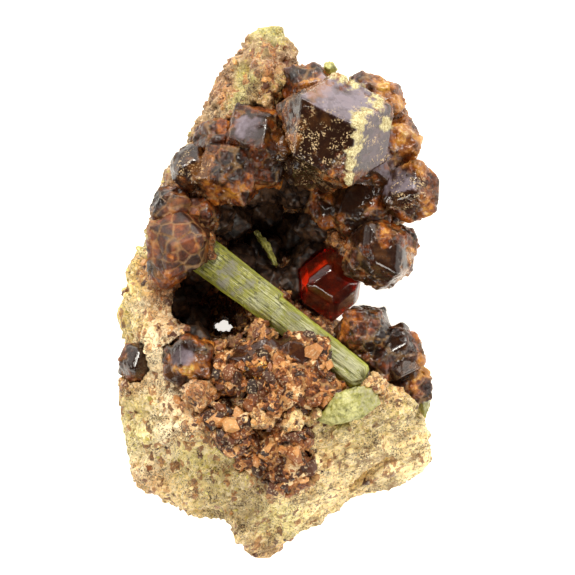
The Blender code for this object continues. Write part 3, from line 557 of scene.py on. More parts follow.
def rock_finish():
    """Granular skarn: a ground of fine pale grains, coarser garnet and epidote grains in it that lie in
    irregular clusters, and thin streaks along the beds at the lower right. Dark specks are painted shade
    in pits, and dark lines along the beds are painted shade under their ledges."""
    made, shader, wire = finish("granular_skarn")
    place = wire.place()
    bent = wire.bend(place, 1600.0, 0.00040)
    drawn = wire.vector("MULTIPLY", bent, (1.1, 0.6, 1.0))
    coarse = wire.cells(drawn, COARSE_GRAIN)
    chance = wire.channel(coarse, 0)
    shade = wire.channel(coarse, 1)
    seam = wire.cells(drawn, COARSE_GRAIN, "DISTANCE_TO_EDGE", 0)
    bedded = wire.attribute("bedded")
    streak = bed_streaks(wire, place)
    fine = wire.cells(bent, FINE_GRAIN)
    fine_shade = wire.channel(fine, 0)
    fine_chance = wire.channel(fine, 1)
    speck = wire.noise(place, SPECK, 3.0, 0.7)
    stain = wire.noise(place, STAIN, 5.0, 0.65)
    garnet_share = wire.attribute("garnet_share")
    green_share = wire.attribute("green_share")
    lift = 0.76 + 0.55 * fine_shade + 0.9 * (speck - 0.5)
    lift = lift + 1.5 * (stain - 0.5) + 2.4 * bedded * (streak - 0.5)
    ground = lift.scale(wire.attribute("ground", 0))
    light_ground = wire.channel(ground, 0).step(0.25, 0.75)
    pale = (fine_chance.step(0.70, 0.78) * light_ground * 0.5).mix(ground, PALE_FLECK)
    rusty = (fine_chance.step(0.15, 0.10) * 0.5).mix(pale, RUSTY_FLECK)
    garnets = (0.6 * shade + 0.5 * fine_shade - 0.05).ramp(GARNET_SHADES)
    greens = (0.3 * shade + 0.7 * fine_shade).ramp(GREEN_SHADES)
    is_green = (0.8 * green_share + 0.9 * (stain - 0.5) - fine_chance).step(-0.05, 0.05) * 0.6
    is_garnet = (0.75 * garnet_share + 1.3 * (stain - 0.5) - (1 - chance)).step(-0.04, 0.04) * 0.85
    colour = is_green.mix(rusty, greens)
    colour = is_garnet.mix(colour, garnets)
    in_seam = (1 - seam.step(0.01, 0.07)) * is_garnet * 0.5
    colour = in_seam.mix(colour, PALE_GOLD_AND_GLINT)
    # Painted shade: dark brown specks where the speck noise, and so the bump, runs lowest.
    not_pit_shade = (speck + 0.6 * (stain - 0.5)).step(0.36, 0.43)
    colour = not_pit_shade.mix(PIT_SHADE_BROWN, colour)
    # Painted shade: dark lines along the beds, in the grooves under their ledges.
    in_ledge_shade = bedded * (1 - streak.step(0.40, 0.46)) * 0.7
    colour = in_ledge_shade.mix(colour, BED_LEDGE_SHADE)
    height = 0.5 * fine_shade + 0.6 * seam.step(0.0, 0.2) * is_garnet + 0.7 * speck + 1.1 * bedded * streak
    outwards = wire.node("ShaderNodeNewGeometry", output=1)
    outwards = wire.vector("ADD", outwards, wire.vector("MULTIPLY_ADD", fine, (0.55,) * 3, (-0.275,) * 3))
    feed(shader, wire, {
        "Base Color": colour, "Roughness": 0.8 - 0.42 * is_garnet - 0.2 * fine_shade,
        "Normal": wire.bump(height, 0.9, 0.00013, Normal=wire.vector("NORMALIZE", outwards)),
    })
    return made


rock_values = {
    "ground": rock_colour, "garnet_share": rock_garnet, "green_share": rock_green,
    "bedded": how_bedded(rock_points),
}
piece("rock", rock_points, rock_faces, rock_finish(), ["matrix"], rock_values)


# The loose-looking grains that stand out of the rock: small broken garnets, epidote and pale grains,
# each a faceted block a millimetre or less across that is half sunk in the surface.
GRAIN_COUNT = 4200
GRAIN_LENGTHS = {"garnet": (0.30, 0.62), "green": (0.16, 0.32), "pale": (0.16, 0.34)}
GRAIN_SINK = 0.45
GRAIN_UNEVEN = 0.16
GRAIN_LOWEST = 1.2
GARNET_GRAIN_SHARE = 1.3
GRAIN_FLECK = (0.80, 0.62, 0.38, 1.0)
# A garnet's shape: six points on the axes and eight cube corners, joined by twelve rhombic faces.
BLOCK_CORNERS = np.array([
    (1, 0, 0), (-1, 0, 0), (0, 1, 0), (0, -1, 0), (0, 0, 1), (0, 0, -1),
    (.5, .5, .5), (.5, .5, -.5), (.5, -.5, .5), (.5, -.5, -.5),
    (-.5, .5, .5), (-.5, .5, -.5), (-.5, -.5, .5), (-.5, -.5, -.5),
])
BLOCK_FACES = np.array([
    (0, 7, 2, 6), (0, 8, 3, 9), (1, 10, 2, 11), (1, 13, 3, 12), (0, 6, 4, 8), (0, 9, 5, 7),
    (1, 12, 4, 10), (1, 11, 5, 13), (2, 10, 4, 6), (2, 7, 5, 11), (3, 8, 4, 12), (3, 13, 5, 9),
])


def scatter(points, faces, weight, count, seed):
    """Places on a surface, picked at random by area and weight: their points, normals and face numbers."""
    quads = points[faces]
    across = np.cross(quads[:, 2] - quads[:, 0], quads[:, 3] - quads[:, 1])
    share = np.linalg.norm(across, axis=1) * weight[faces].mean(axis=1)
    chance = np.random.default_rng(seed)
    picked = chance.choice(len(faces), count, p=share / share.sum())
    return quads[picked].mean(axis=1), unit(across[picked]), picked


def blocks(places, normals, sizes, seed, stretch=(0.7, 1.25)):
    """Faceted blocks, each turned at random, stretched, made uneven and sunk part of its size below
    its place."""
    chance = np.random.default_rng(seed)
    count = len(places)
    a = unit(chance.normal(0, 1, (count, 3)))
    b = unit(np.cross(a, chance.normal(0, 1, (count, 3))))
    turn = np.stack([a, b, np.cross(a, b)], axis=1)
    shape = BLOCK_CORNERS * (1 + GRAIN_UNEVEN * chance.uniform(-1, 1, (count, len(BLOCK_CORNERS), 1)))
    shape = shape * chance.uniform(*stretch, (count, 1, 3))
    middle = places - normals * (sizes * GRAIN_SINK)[:, None]
    points = middle[:, None] + (shape @ turn) * sizes[:, None, None]
    faces = BLOCK_FACES + np.arange(count)[:, None, None] * len(BLOCK_CORNERS)
    return points.reshape(-1, 3), faces.reshape(-1, 4)


def grain_finish(name, roughness):
    """Glassy to satin grains, each with its own colour, clouded and flecked."""
    made, shader, wire = finish(name)
    place = wire.place()
    cloud = wire.noise(place, 0.4, 4.0, 0.65)
    tint = (0.55 + 0.9 * cloud).scale(wire.attribute("tint", 0))
    fleck = wire.channel(wire.cells(place, 0.14), 0)
    colour = (fleck.step(0.86, 0.9) * 0.5).mix(tint, GRAIN_FLECK)
    feed(shader, wire, {
        "Base Color": colour, "Roughness": roughness + 0.35 * (cloud - 0.5),
        "Normal": wire.bump(wire.noise(place, 0.12, 3.0, 0.7), 0.6, 0.00008),
    })
    return made


chance = np.random.default_rng(41)
open_to_light = np.clip(rock_normals[:, 2] * 0.8 + 0.6, 0.12, 1) * (rock_points[:, 2] > GRAIN_LOWEST)
richness = open_to_light * (0.35 + 0.9 * rock_garnet + 0.3 * rock_green)
places, normals, picked = scatter(rock_points, rock_faces, richness, GRAIN_COUNT, 42)
corner = rock_faces[picked, 0]
draw = chance.uniform(0, 1, GRAIN_COUNT)
is_garnet = draw < rock_garnet[corner] ** 2 * GARNET_GRAIN_SHARE
is_green = ~is_garnet & (draw > 1 - rock_green[corner])
kind = np.where(is_garnet, 0, np.where(is_green, 1, 2))
lengths = np.array(list(GRAIN_LENGTHS.values()))[kind]
sizes = lengths[:, 0] + (lengths[:, 1] - lengths[:, 0]) * chance.uniform(0, 1, GRAIN_COUNT) ** 2


def ramp_colour(stops, share):
    """Colours between the stops of a ramp."""
    where = [stop[0] for stop in stops]
    return np.stack([np.interp(share, where, [stop[1][i] for stop in stops]) for i in range(3)], axis=1)


shade = chance.uniform(0, 1, GRAIN_COUNT)
tints = rock_colour[corner] * (0.8 + 0.7 * shade)[:, None]
tints = np.where(is_garnet[:, None], ramp_colour(GARNET_SHADES, shade**1.3), tints)
tints = np.where(is_green[:, None], ramp_colour(GREEN_SHADES, shade), tints)
tints = np.repeat(tints, len(BLOCK_CORNERS), axis=0)
grain_points, grain_faces = blocks(places, normals, sizes, 43)
grain_points = keep_inside(grain_points)
piece("rock_grains", grain_points, grain_faces, grain_finish("rock_grain", 0.42),
      values={"tint": tints}, smooth=False)


# The garnets. They grew as twelve-sided crystals, brown and partly clear. Only some faces are still
# whole and glassy; elsewhere they are bruised and broken into small orange-brown chips.
GARNET_DETAIL = 0.15
GARNET_GROW = 0.14
# The whole glassy faces, as x, y and reach in mm, seen from the front.
GLASSY = [
    (4.2, 15.6, 3.4), (7.2, 17.6, 3.0), (8.8, 15.0, 2.4), (9.8, 13.4, 1.6), (4.4, 19.2, 2.0),
    (2.6, 12.8, 2.2), (-3.0, 16.4, 1.5), (-1.8, 15.6, 1.0), (-8.7, 12.3, 1.9), (12.0, 10.4, 1.9),
    (11.3, 3.0, 1.8), (8.6, 5.8, 1.4), (-9.2, -6.3, 1.2), (-13.6, -7.0, 1.6), (12.0, -5.4, 0.9),
    (7.4, 9.4, 2.0),
]
# Cream crust; clear honey-coloured parts, painted brighter as if light glowed through them; dark parts, one
# of them painted shade; parts strewn with painted glints; and parts broken into flat cells like a honeycomb:
# x, y and reach in mm, seen from the front.
CRUSTED = [
    (7.9, 16.8, 0.9), (8.4, 17.3, 0.8), (7.8, 15.4, 0.6), (7.5, 14.0, 0.5), (7.3, 12.6, 0.5),
    (7.1, 11.4, 0.5), (9.1, 17.9, 0.6), (9.9, 18.6, 0.8), (6.8, 21.2, 0.7), (7.6, 20.4, 0.6),
    (5.8, 21.5, 0.5), (10.7, 16.8, 0.5),
]
HONEY_AND_GLOW = [
    (11.6, 20.4, 2.2), (13.4, 17.8, 2.0), (14.2, 14.6, 2.2), (15.4, 9.4, 1.4), (14.6, 7.4, 1.0),
    (-6.6, 12.0, 1.7), (4.0, 20.4, 1.3), (14.4, -7.4, 1.4), (0.4, 14.8, 1.3), (-8.0, -8.0, 1.1),
    (-4.6, 10.4, 1.2), (-10.4, 9.0, 1.0), (12.8, 1.5, 0.9), (13.4, 3.6, 0.8), (9.6, -2.2, 0.8),
    (-2.0, -8.0, 1.2),
]
# The dark patch at (2.0, 12.0) is painted shade of the pocket below the big crystal; the rest are dark parts
# of the garnets.
DARK_AND_SHADED = [
    (-3.4, -6.2, 0.9), (-1.8, -5.4, 0.9), (0.0, -5.0, 0.9), (1.6, -5.4, 0.9), (2.6, -6.3, 0.8),
    (10.8, -5.4, 1.8), (-4.8, 12.6, 1.5), (-11.6, 3.2, 0.9), (-9.0, 2.6, 0.8), (12.4, 9.6, 1.3),
    (10.4, 2.6, 1.4), (8.6, 6.6, 1.4), (2.0, 12.0, 2.2), (-9.8, -5.8, 0.8), (12.8, -8.4, 1.0),
    (-1.8, -12.4, 0.9), (9.4, -3.4, 2.0), (-8.6, 5.6, 0.7), (12.6, -6.4, 1.4), (-11.0, 6.4, 0.9),
    (-9.4, 8.2, 0.8), (-12.2, 9.6, 1.0),
]
# Whole faces given a painted lilac-grey sheen, a painted reflection of the bright tent, on the sides that
# look up and away to the right.
PAINTED_SHEEN_FACES = [(6.9, 18.9, 3.6), (9.4, 14.7, 3.0), (-3.0, 16.2, 1.2), (-9.2, -6.4, 1.0), (12.4, 10.4, 1.6)]
SHEEN_SIDE, SHEEN_LEAST, SHEEN_FULL = np.array((0.15, 0.60, 0.0)), -0.10, 0.08
GLINT_PATCHES = [
    (4.0, 14.2, 3.4), (-8.7, 12.3, 1.4), (9.8, 13.6, 1.4), (13.2, 9.9, 1.8), (9.4, 18.0, 1.4),
]
HONEYCOMB = [(-10.0, 4.9, 3.0), (-9.6, 7.6, 2.0)]
# Bruised garnet breaks into chips of these sizes in mm, that stand at most about so far out or in.
CHIPS, SMALL_CHIPS = (1.4, 0.26), (0.5, 0.22)
CRUSHED_CHIPS, SMALL_CRUSHED_CHIPS = (1.7, 0.36), (0.6, 0.42)
CREASE_ROUNDS = 36
SEAM_WIDTH, SEAM_DEPTH = 0.09, 0.05
GARNET_PIT_SIZE, GARNET_PIT_DEPTH, GARNET_PITLESS_SHARE = 0.6, 0.16, 0.6
STEP_WIDTH, STEP_HEIGHT, WHOLE_PATCH = 2.6, 0.03, 2.6


def patches(points, places, seed, torn=0.45):
    """How far inside one of the patches each point is, from 0 to 1, with a ragged edge."""
    inside = np.zeros(len(points))
    ragged = torn * (soft_noise(points, 0.9, seed) + 0.8 * soft_noise(points, 0.35, seed + 1))
    for x, y, reach in places:
        near = 1.25 - np.linalg.norm(points[:, :2] - (x, y), axis=1) / reach + ragged
        inside = np.maximum(inside, np.clip(near * 2, 0, 1))
    return inside


def fill_creases(points, faces):
    """A surface with its creases filled: in each round the points that lie deeper than the mean of
    their neighbours rise towards it along their normals, and the others stay."""
    neighbours = np.bincount(faces.ravel(), minlength=len(points))[:, None]
    for _ in range(CREASE_ROUNDS):
        normals = outward(points, faces)
        before = points[np.roll(faces, 1, axis=1)]
        total = np.stack([
            sum(np.bincount(faces[:, corner], before[:, corner, axis], len(points)) for corner in range(4))
            for axis in range(3)
        ], axis=1)
        rise = ((total / neighbours - points) * normals).sum(axis=1)
        points = points + normals * (0.8 * np.maximum(rise, 0))[:, None]
    return points


def garnet_surface(node, seed, glassy_share=0.35, crushed=False):
    """A garnet's faces cut fine and grown a little to close on the rock. Whole faces get shallow growth
    steps. Bruised ones break into two sizes of tilted chips with pale seams, and have pits. Crushed
    crystals have grown into one lump first, break into larger chips and keep their dark parts whole."""
    points, faces = fine_surface(node, GARNET_DETAIL, rounded=crushed)
    chips, small_chips = CHIPS, SMALL_CHIPS
    if crushed:
        points = fill_creases(points, faces)
        chips, small_chips = CRUSHED_CHIPS, SMALL_CRUSHED_CHIPS
    normals = outward(points, faces)
    whole = patches(points, GLASSY, seed) * (normals[:, 2] > 0.05)
    kept = soft_noise(points, WHOLE_PATCH, seed + 2) + 2 * glassy_share - 1
    whole = np.maximum(whole, np.clip(kept * 5, 0, 1))
    dark = patches(points, DARK_AND_SHADED, seed + 12)
    if crushed:
        whole = np.maximum(whole, dark)
    broken = 1 - whole
    near, further, own, lean = grains(points, chips[0], seed + 3)
    comb = patches(points, HONEYCOMB, seed + 11) * (normals[:, 2] > 0)
    seams = np.clip(1.2 - (further - near) / (SEAM_WIDTH * (1 + 0.3 * comb)), 0, 1)
    seams = seams * broken * np.clip(soft_noise(points, 1.4, seed + 4) + 0.75 + comb, 0, 1)
    _, _, _, fine_lean = grains(points, small_chips[0], seed + 5)
    pits, _, pit_own, _ = grains(points, GARNET_PIT_SIZE, seed + 6)
    pits = np.clip(1 - pits * 2, 0, 1) * (pit_own > GARNET_PITLESS_SHARE)
    height = GARNET_GROW + STEP_HEIGHT * np.floor(soft_noise(points, STEP_WIDTH, seed + 7) * 3) / 3
    height += broken * (1 - 0.6 * comb) * (chips[1] * lean + small_chips[1] * fine_lean) - SEAM_DEPTH * seams
    height -= GARNET_PIT_DEPTH * broken * (1 - comb) * pits
    crust = patches(points, CRUSTED, seed + 8, torn=1.0) * (normals[:, 2] > 0)
    height += crust * (0.04 + 0.4 * fine_lean)
    # Painted sheen: how squarely each face looks towards the bright tent.
    film = np.clip((normals @ SHEEN_SIDE - SHEEN_LEAST) / (SHEEN_FULL - SHEEN_LEAST), 0, 1)
    points = keep_inside(points + normals * height[:, None])
    values = {
        "broken": broken, "crust": crust, "seam": seams, "chip": own, "comb": comb,
        "honey": patches(points, HONEY_AND_GLOW, seed + 9), "frost": patches(points, GLINT_PATCHES, seed + 10),
        "dark": dark, "film": film * patches(points, PAINTED_SHEEN_FACES, seed + 13) * whole,
    }
    return points, faces, values


# Shades of bruised garnet, from its dark body to thin glowing splinters, where it is clear and honey-
# coloured and painted brighter as if lit from behind, and where it is crushed.
BRUISED_SHADES = [
    (0.0, (0.012, 0.003, 0.001)), (0.28, (0.060, 0.013, 0.003)), (0.52, (0.21, 0.045, 0.006)),
    (0.76, (0.50, 0.16, 0.018)), (1.0, (0.84, 0.47, 0.12)),
]
HONEY_GLOW_SHADES = [
    (0.0, (0.06, 0.013, 0.002)), (0.30, (0.32, 0.085, 0.008)), (0.55, (0.66, 0.26, 0.025)),
    (0.78, (0.90, 0.54, 0.09)), (1.0, (1.0, 0.84, 0.36)),
]
CRUSHED_SHADES = [
    (0.0, (0.025, 0.008, 0.003)), (0.30, (0.14, 0.038, 0.010)), (0.55, (0.38, 0.125, 0.03)),
    (0.78, (0.68, 0.33, 0.11)), (1.0, (0.93, 0.70, 0.40)),
]
SEAM_BROWN, PAINTED_SHEEN_LILAC = (0.62, 0.34, 0.12, 1.0), (0.25, 0.21, 0.25, 1.0)
GRIT_DARK, GRIT_PALE = (0.34, 0.25, 0.09, 1.0), (0.80, 0.72, 0.42, 1.0)
GARNET_IOR, CLOUDY_IOR = 1.74, 1.5


def garnet_finish(name, deep, clear, absorb, density, see_through, haze, shades, sparkle, crumble=0.0):
    """Glassy garnet: a see-through body that absorbs light, clouded by brown veils and in places strewn
    with painted glints, with a mosaic of chips where it is bruised, painted glow in its clear honey parts,
    pale seams, a cream crust and a painted lilac-grey sheen. The more it crumbles, the coarser and stronger
    the mosaic."""
    made, shader, wire = finish(name)
    place = wire.place()
    bent = wire.bend(place, 1200.0, 0.00045)
    cloud = wire.noise(place, 2.2, 5.0, 0.65)
    speck = wire.noise(place, 0.3, 3.0, 0.7)
    chips = wire.cells(bent, 0.5 + 0.3 * crumble)
    chip_shade = wire.channel(chips, 0)
    glint = wire.cells(place, 0.12)
    glint_chance = wire.channel(glint, 0)
    broken, crust, honey, seam, comb, frost = (
        wire.attribute(part) for part in ("broken", "crust", "honey", "seam", "comb", "frost"))
    # The dark patches darken the mosaic; the one at (2.0, 12.0) is painted shade.
    dark = wire.attribute("dark") * (1 - 0.7 * comb)
    # Painted glow: the clear honey-coloured parts take a brighter ramp, as if lit from behind.
    lit = honey * (1 - dark)
    veil = (cloud.step(0.52, 0.80) * 0.45 * (1 - 0.7 * frost) + lit).step(0, 1)
    body = veil.mix((*deep, 1.0), (*clear, 1.0))
    uneven = (0.25 + 0.45 * crumble) * (chip_shade - 0.5) + (0.5 + crumble) * (speck - 0.5)
    uneven = uneven + 1.6 * (cloud - 0.5)
    shade = 0.36 + 0.1 * crumble + (1 - 0.3 * comb) * uneven - 0.35 * dark - 0.03 * comb
    shade = shade + (0.5 - 0.3 * comb) * (wire.attribute("chip") - 0.5)
    mosaic = lit.mix(shade.ramp(shades), shade.ramp(HONEY_GLOW_SHADES))
    colour = broken.mix(body, mosaic)
    colour = (seam * (0.4 + 0.3 * crumble)).mix(colour, SEAM_BROWN)
    # Painted sheen: lilac-grey laid on whole faces that look towards the bright tent.
    film = wire.attribute("film") * cloud.step(0.25, 0.55)
    colour = (film * 0.8).mix(colour, PAINTED_SHEEN_LILAC)
    # Painted glints: clustered specks of pale gold, dense on the glint patches.
    cluster = wire.noise(place, 0.8, 2.0, 0.5).step(0.44, 0.60)
    painted_glints = glint_chance.step(0.70, 0.78) * cluster * (0.04 + 0.96 * frost) * sparkle
    colour = (painted_glints * 0.75).mix(colour, PALE_GOLD_AND_GLINT)
    grit = wire.channel(glint, 1).mix(GRIT_DARK, GRIT_PALE)
    colour = crust.mix(colour, grit)
    height = 0.5 * speck + 0.4 * glint_chance * (broken + crust).step(0, 1) + 0.35 * chip_shade * broken
    outwards = wire.node("ShaderNodeNewGeometry", output=1)
    for cells, strength in (
        (glint, 0.9 * painted_glints + 0.10 * broken),
        (chips, 0.40 * broken * (1 - 0.7 * comb)),
    ):
        tilt = strength.scale(wire.vector("ADD", cells, (-0.5,) * 3))
        outwards = wire.vector("ADD", outwards, tilt)
    outwards = wire.vector("NORMALIZE", outwards)
    bump = wire.bump(height, 0.4 + 0.4 * crumble, 0.00007, Normal=outwards)
    rough = 0.08 + 0.10 * cloud + (0.16 + 0.2 * crumble) * broken + 0.2 * comb + 0.5 * crust + 0.15 * film
    feed(shader, wire, {
        "Base Color": colour, "Roughness": rough, "IOR": GARNET_IOR, "Normal": bump,
        "Transmission Weight": see_through,
    })
    cloudy = wire.node("ShaderNodeBsdfPrincipled", {}, {
        "Base Color": colour, "Roughness": rough, "IOR": CLOUDY_IOR, "Normal": bump,
        "Specular IOR Level": 0.35,
    })
    veils = (haze + 0.5 * (cloud - 0.5) + 0.45 * broken + crust + painted_glints + film - 0.25 * honey).step(0, 1)
    glassy = Wire(made.node_tree, shader.outputs[0])
    both = wire.node("ShaderNodeMixShader", {}, {0: veils, 1: glassy, 2: cloudy})
    volume = wire.node("ShaderNodeVolumeAbsorption", {}, {"Color": (*absorb, 1.0), "Density": density})
    feed(made.node_tree.nodes["Material Output"], wire, {"Surface": both, "Volume": volume})
    return made


brown_garnet = garnet_finish(
    "brown_garnet", deep=(0.035, 0.012, 0.006), clear=(0.40, 0.15, 0.03), absorb=(0.80, 0.38, 0.12),
    density=450.0, see_through=0.75, haze=0.35, shades=BRUISED_SHADES, sparkle=1.0)

for seed, (node, glassy_share) in enumerate({
    "garnet_crown": 0.30, "garnet_upper_left": 0.25, "garnet_left": 0.12, "garnet_lower_left": 0.2,
    "garnet_left_edge": 0.3, "garnet_lower_right": 0.4,
}.items()):
    points, faces, values = garnet_surface(node, 100 + 20 * seed, glassy_share)
    piece(node + "_crystals", points, faces, brown_garnet, [node], values)


# The front garnets, below the pocket, which are crushed: their edges are gone, and they are a lump of
# brown and orange chips with cream between.
crushed_garnet = garnet_finish(
    "crushed_garnet", deep=(0.05, 0.016, 0.008), clear=(0.40, 0.15, 0.03), absorb=(0.80, 0.38, 0.12),
    density=450.0, see_through=0.5, haze=0.7, shades=CRUSHED_SHADES, sparkle=0.6, crumble=1.0)
CRUMB_COUNT, CRUMB_LENGTHS, CRUMB_STRETCH = 380, (0.2, 0.72), (0.3, 1.8)
PALEST_CRUMB, CRUMB_DARKENING = 0.82, 1.4
for seed, node in enumerate(("garnet_front", "garnet_front_low")):
    points, faces, values = garnet_surface(node, 300 + 20 * seed, 0.06, crushed=True)
    piece(node + "_crystals", points, faces, crushed_garnet, [node], values)
    in_view = np.clip(outward(points, faces)[:, 2] + 0.3, 0, 1) * (1 - values["dark"]) ** 2
    places, normals, _ = scatter(points, faces, in_view, CRUMB_COUNT, 304 + 20 * seed)
    chance = np.random.default_rng(305 + 20 * seed)
    sizes = CRUMB_LENGTHS[0] + (CRUMB_LENGTHS[1] - CRUMB_LENGTHS[0]) * chance.uniform(0, 1, CRUMB_COUNT) ** 2
    pale = PALEST_CRUMB * chance.uniform(0, 1, CRUMB_COUNT) ** CRUMB_DARKENING
    tints = ramp_colour(CRUSHED_SHADES, pale)
    tints = np.repeat(tints, len(BLOCK_CORNERS), axis=0)
    points, faces = blocks(places, normals, sizes, 306 + 20 * seed, CRUMB_STRETCH)
    piece(node + "_crumbs", keep_inside(points), faces, grain_finish(node + "_crumb", 0.34),
          values={"tint": tints}, smooth=False)


# The red-orange garnet, deep in the bay at the right, clear enough to glow where light comes through.
red_garnet = garnet_finish(
    "red_orange_garnet", deep=(0.55, 0.06, 0.01), clear=(0.90, 0.20, 0.03), absorb=(0.95, 0.24, 0.04),
    density=340.0, see_through=0.95, haze=0.04, shades=BRUISED_SHADES, sparkle=0.0)
points, faces, values = garnet_surface("garnet_red", 400, 0.9)
piece("garnet_red_crystal", points, faces, red_garnet, ["garnet_red"], values)


# The pocket's crust of small dark garnets, which grew inwards from its wall and carry brown dust. Their
# near-black is partly painted shade of the deep pocket.
CRUST_DARK_AND_SHADE, CRUST_DUST = (0.012, 0.005, 0.003, 1.0), (0.10, 0.048, 0.022, 1.0)


def crust_finish():
    """Small dark garnets with brown dust on them, their near-black partly painted shade of the pocket."""
    made, shader, wire = finish("dark_pocket_garnet")
    place = wire.place()
    cloud = wire.noise(place, 1.3, 5.0, 0.7)
    chips = wire.channel(wire.cells(place, 0.5), 0)
    dusty = (cloud + 0.25 * (chips - 0.5)).step(0.4, 0.68)
    feed(shader, wire, {
        "Base Color": dusty.mix(CRUST_DARK_AND_SHADE, CRUST_DUST), "Roughness": 0.25 + 0.4 * cloud,
        "Normal": wire.bump(cloud + 0.5 * chips, 0.5, 0.0002),
    })
    return made


points, faces = fine_surface("pocket_crust", 0.2)
normals = outward(points, faces)
_, _, _, lean = grains(points, 0.9, 501)
points = points + normals * (0.1 + 0.3 * lean)[:, None]
piece("pocket_garnets", points, faces, crust_finish(), ["pocket_crust"])


# The epidote prism that bridges the pocket. It is a bundle of parallel blades grown together, each
# finely ribbed along its length, yellow-green and clear in part, with whitish crushed patches.
PRISM_START = np.array((-8.29, 4.37, 11.6))
PRISM_END = np.array((8.71, -8.73, 18.5))
PRISM_WIDTHS = (3.75, 2.85)
PRISM_THICKNESS = 2.45
PRISM_BEVEL, PRISM_SHARPNESS = 0.42, 12
RIB_STRETCH, EDGE_FINENESS = 9, 5
END_RAGGED, END_INSET = 0.3, 0.15
RINGS, ROUND = 150, 96
# The blades: offset across and up, width and thickness as shares of the prism's, and where each starts
# and ends as a share of the length.
PRISM_BLADES = [
    ((0.0, 0.0), 1.0, 1.0, 0.0, 1.0), ((0.95, 0.1), 0.6, 0.84, 0.0, 0.47),
    ((-0.35, 0.16), 0.42, 0.95, 0.012, 0.80), ((0.35, 0.2), 0.3, 0.92, 0.02, 0.66),
    ((-0.95, 0.0), 0.4, 0.8, 0.03, 0.36), ((0.1, 0.22), 0.34, 0.9, 0.45, 0.985),
]


def blade_surface(offset, wide, thick, begin, finish_at, seed):
    """One blade: a flat-topped six-sided ring, where three pairs of planes meet with slightly soft
    edges. Noise that changes fast round it and slowly along it ribs its radius. It is carried along
    the prism's axis, with ragged ends drawn in to close. Also gives where its ribs and edges are."""
    turn, along = np.meshgrid(np.linspace(0, 2 * np.pi, ROUND, endpoint=False), np.linspace(0, 1, RINGS))
    axis = unit(PRISM_END - PRISM_START)
    side = -unit(np.cross(axis, (0, 0, 1)))
    up = np.cross(axis, side)
    up = up * np.sign(up[2])
    length = np.linalg.norm(PRISM_END - PRISM_START)
    share = begin + (finish_at - begin) * along
    half_width = (PRISM_WIDTHS[0] + (PRISM_WIDTHS[1] - PRISM_WIDTHS[0]) * share) / 2 * wide
    half_height = PRISM_THICKNESS / 2 * thick
    across, upwards = np.cos(turn), np.sin(turn)
    planes = (upwards, across + PRISM_BEVEL * upwards, across - PRISM_BEVEL * upwards)
    corner = sum(np.abs(plane) ** PRISM_SHARPNESS for plane in planes) ** (-1 / PRISM_SHARPNESS)
    ribbed = np.stack([across * 3, upwards * 3, share * length / RIB_STRETCH], axis=-1).reshape(-1, 3)
    ribs = 0.05 * soft_noise(ribbed, 0.28, seed) + 0.04 * soft_noise(ribbed, 0.75, seed + 1)
    ribs = ribs + 0.02 * soft_noise(ribbed * (1, 1, RIB_STRETCH), 0.5, seed + 2)
    closing = np.sin(np.minimum(1, np.minimum(along, 1 - along) * RINGS / 3) * np.pi / 2) ** 0.5
    radius = corner * (1 + ribs.reshape(turn.shape)) * (0.001 + 0.999 * closing)
    ragged = soft_noise(np.stack([across, upwards, 0 * along], axis=-1).reshape(-1, 3) * 2, 0.6, seed + 3)
    near_end = np.clip(np.abs(along - 0.5) * 20 - 9, 0, 1)
    slide = (END_RAGGED * ragged.reshape(turn.shape) * near_end - END_INSET) * np.sign(along - 0.5)
    reach = share * length + slide
    points = PRISM_START + reach[..., None] * axis
    points = points + (offset[0] + np.cos(turn) * radius * half_width)[..., None] * side
    points = points + (offset[1] + np.sin(turn) * radius * half_height)[..., None] * up
    number = np.arange(RINGS * ROUND).reshape(RINGS, ROUND)
    after = np.roll(number, -1, axis=1)
    faces = np.stack([number[:-1], after[:-1], after[1:], number[1:]], axis=-1).reshape(-1, 4)
    if np.dot(np.cross(side, up), axis) < 0:
        faces = faces[:, ::-1]
    return points.reshape(-1, 3), faces, ribbed, (np.abs(across) ** EDGE_FINENESS).ravel()


WHITISH = (0.26, 0.25, 0.11, 1.0), (0.88, 0.87, 0.58, 1.0)
# Painted shade: a near-black for the grooves between the ribs.
LAVENDER_GREY, GROOVE_SHADE_DARK = (0.34, 0.31, 0.31, 1.0), (0.05, 0.045, 0.01, 1.0)
EDGE_GREEN = (0.66, 0.70, 0.05, 1.0)
EPIDOTE_IOR = 1.75
# The heights in metres between which the prism rises to its end that is lower in the picture: its deeper end
# is painted darker and less pale, as painted shade of the pocket.
PAINTED_SHADE_HEIGHTS = (0.0125, 0.0180)


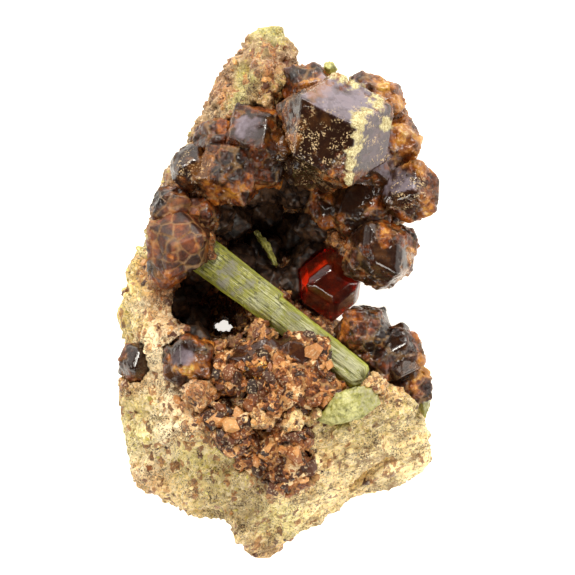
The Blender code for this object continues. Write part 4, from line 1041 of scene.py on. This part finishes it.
def epidote_finish(name, see_through, streaky, dark, bright, pale_share, grey_share):
    """Yellow-green epidote: pale and grey patches, dark fine streaks along it, glassy; painted shade in its
    grooves and lower down.
    """
    made, shader, wire = finish(name)
    place = wire.place()
    cloud = wire.noise(place, 2.6, 5.0, 0.65)
    if streaky:
        drawn = {"Vector": wire.attribute("lengthwise", 1), "Scale": 4.0, "Detail": 5.0, "Roughness": 0.75}
        streak = wire.node("ShaderNodeTexNoise", {}, drawn)
    else:
        streak = wire.noise(place, 0.5, 4.0, 0.7)
    fine = wire.channel(wire.cells(place, 0.3), 0)
    # Painted shade by height: 0 at the deep end, 1 at the raised end.
    painted_height_light = wire.node("ShaderNodeSeparateXYZ", {}, {0: place}, 2).step(*PAINTED_SHADE_HEIGHTS)
    green = streak.step(0.38, 0.60).mix((*dark, 1.0), (*bright, 1.0))
    pale = streak.step(0.38, 0.60).mix(*WHITISH)
    whitish = cloud + 0.9 * (streak - 0.5) + 0.14 * (painted_height_light - 0.5)
    colour = (whitish.step(0.53, 0.62) * pale_share).mix(green, pale)
    grey = (1 - cloud + 0.6 * (streak - 0.5)).step(0.53, 0.62)
    colour = (grey * grey_share).mix(colour, LAVENDER_GREY)
    # Painted shade: near-black in the grooves, where the streaks run lowest, and more of it lower down.
    groove_shade = 1 - (streak + 0.4 * (fine - 0.5) * (1 - grey) + 0.20 * painted_height_light).step(0.42, 0.52)
    colour = (groove_shade * 0.9 * grey_share).mix(colour, GROOVE_SHADE_DARK)
    colour = (wire.attribute("edge") * 0.85).mix(colour, EDGE_GREEN)
    feed(shader, wire, {
        "Base Color": colour, "Roughness": 0.2 + 0.3 * cloud, "IOR": EPIDOTE_IOR,
        "Transmission Weight": see_through, "Normal": wire.bump(streak + 0.3 * fine, 0.8, 0.00018),
    })
    return made


blades = []
for seed, (offset, wide, thick, begin, finish_at) in enumerate(PRISM_BLADES):
    points, faces, ribbed, edge = blade_surface(offset, wide, thick, begin, finish_at, 600 + 10 * seed)
    blades.append((points, faces + seed * RINGS * ROUND, ribbed + 20 * seed, edge))
points, faces, lengthwise, edge = (np.concatenate(part) for part in zip(*blades))
prism_finish = epidote_finish(
    "striated_epidote", 0.25, True, dark=(0.10, 0.11, 0.008), bright=(0.70, 0.68, 0.05),
    pale_share=0.8, grey_share=0.8)
piece("epidote_prism_blades", points, faces, prism_finish, ["epidote_prism"],
      {"lengthwise": lengthwise, "edge": edge})


# The other epidote: a lens-shaped blade at the prism's foot, a needle in the pocket, a grain at the top
# and a fringe at the right edge, all flat-faced and partly clear.
clear_epidote = epidote_finish(
    "clear_epidote", 0.20, False, dark=(0.30, 0.29, 0.04), bright=(0.68, 0.64, 0.12),
    pale_share=0.3, grey_share=0.45)
for seed, (node, detail) in enumerate({
    "epidote_blade": 0.1, "epidote_needle": 0.07, "epidote_grain": 0.06, "epidote_rim": 0.1,
}.items()):
    points, faces = fine_surface(node, detail)
    normals = outward(points, faces)
    _, _, _, lean = grains(points, 0.6, 700 + seed)
    ribs = soft_noise(points @ np.array([(0.8, 0.2, 0), (-0.6, 3.2, 0), (0, 0, 1.0)]), 1.0, 710 + seed)
    points = np.clip(points + normals * (0.06 + 0.25 * lean + 0.05 * ribs)[:, None], box_low, box_high)
    piece(node + "_crystal", points, faces, clear_epidote, [node])


low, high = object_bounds()
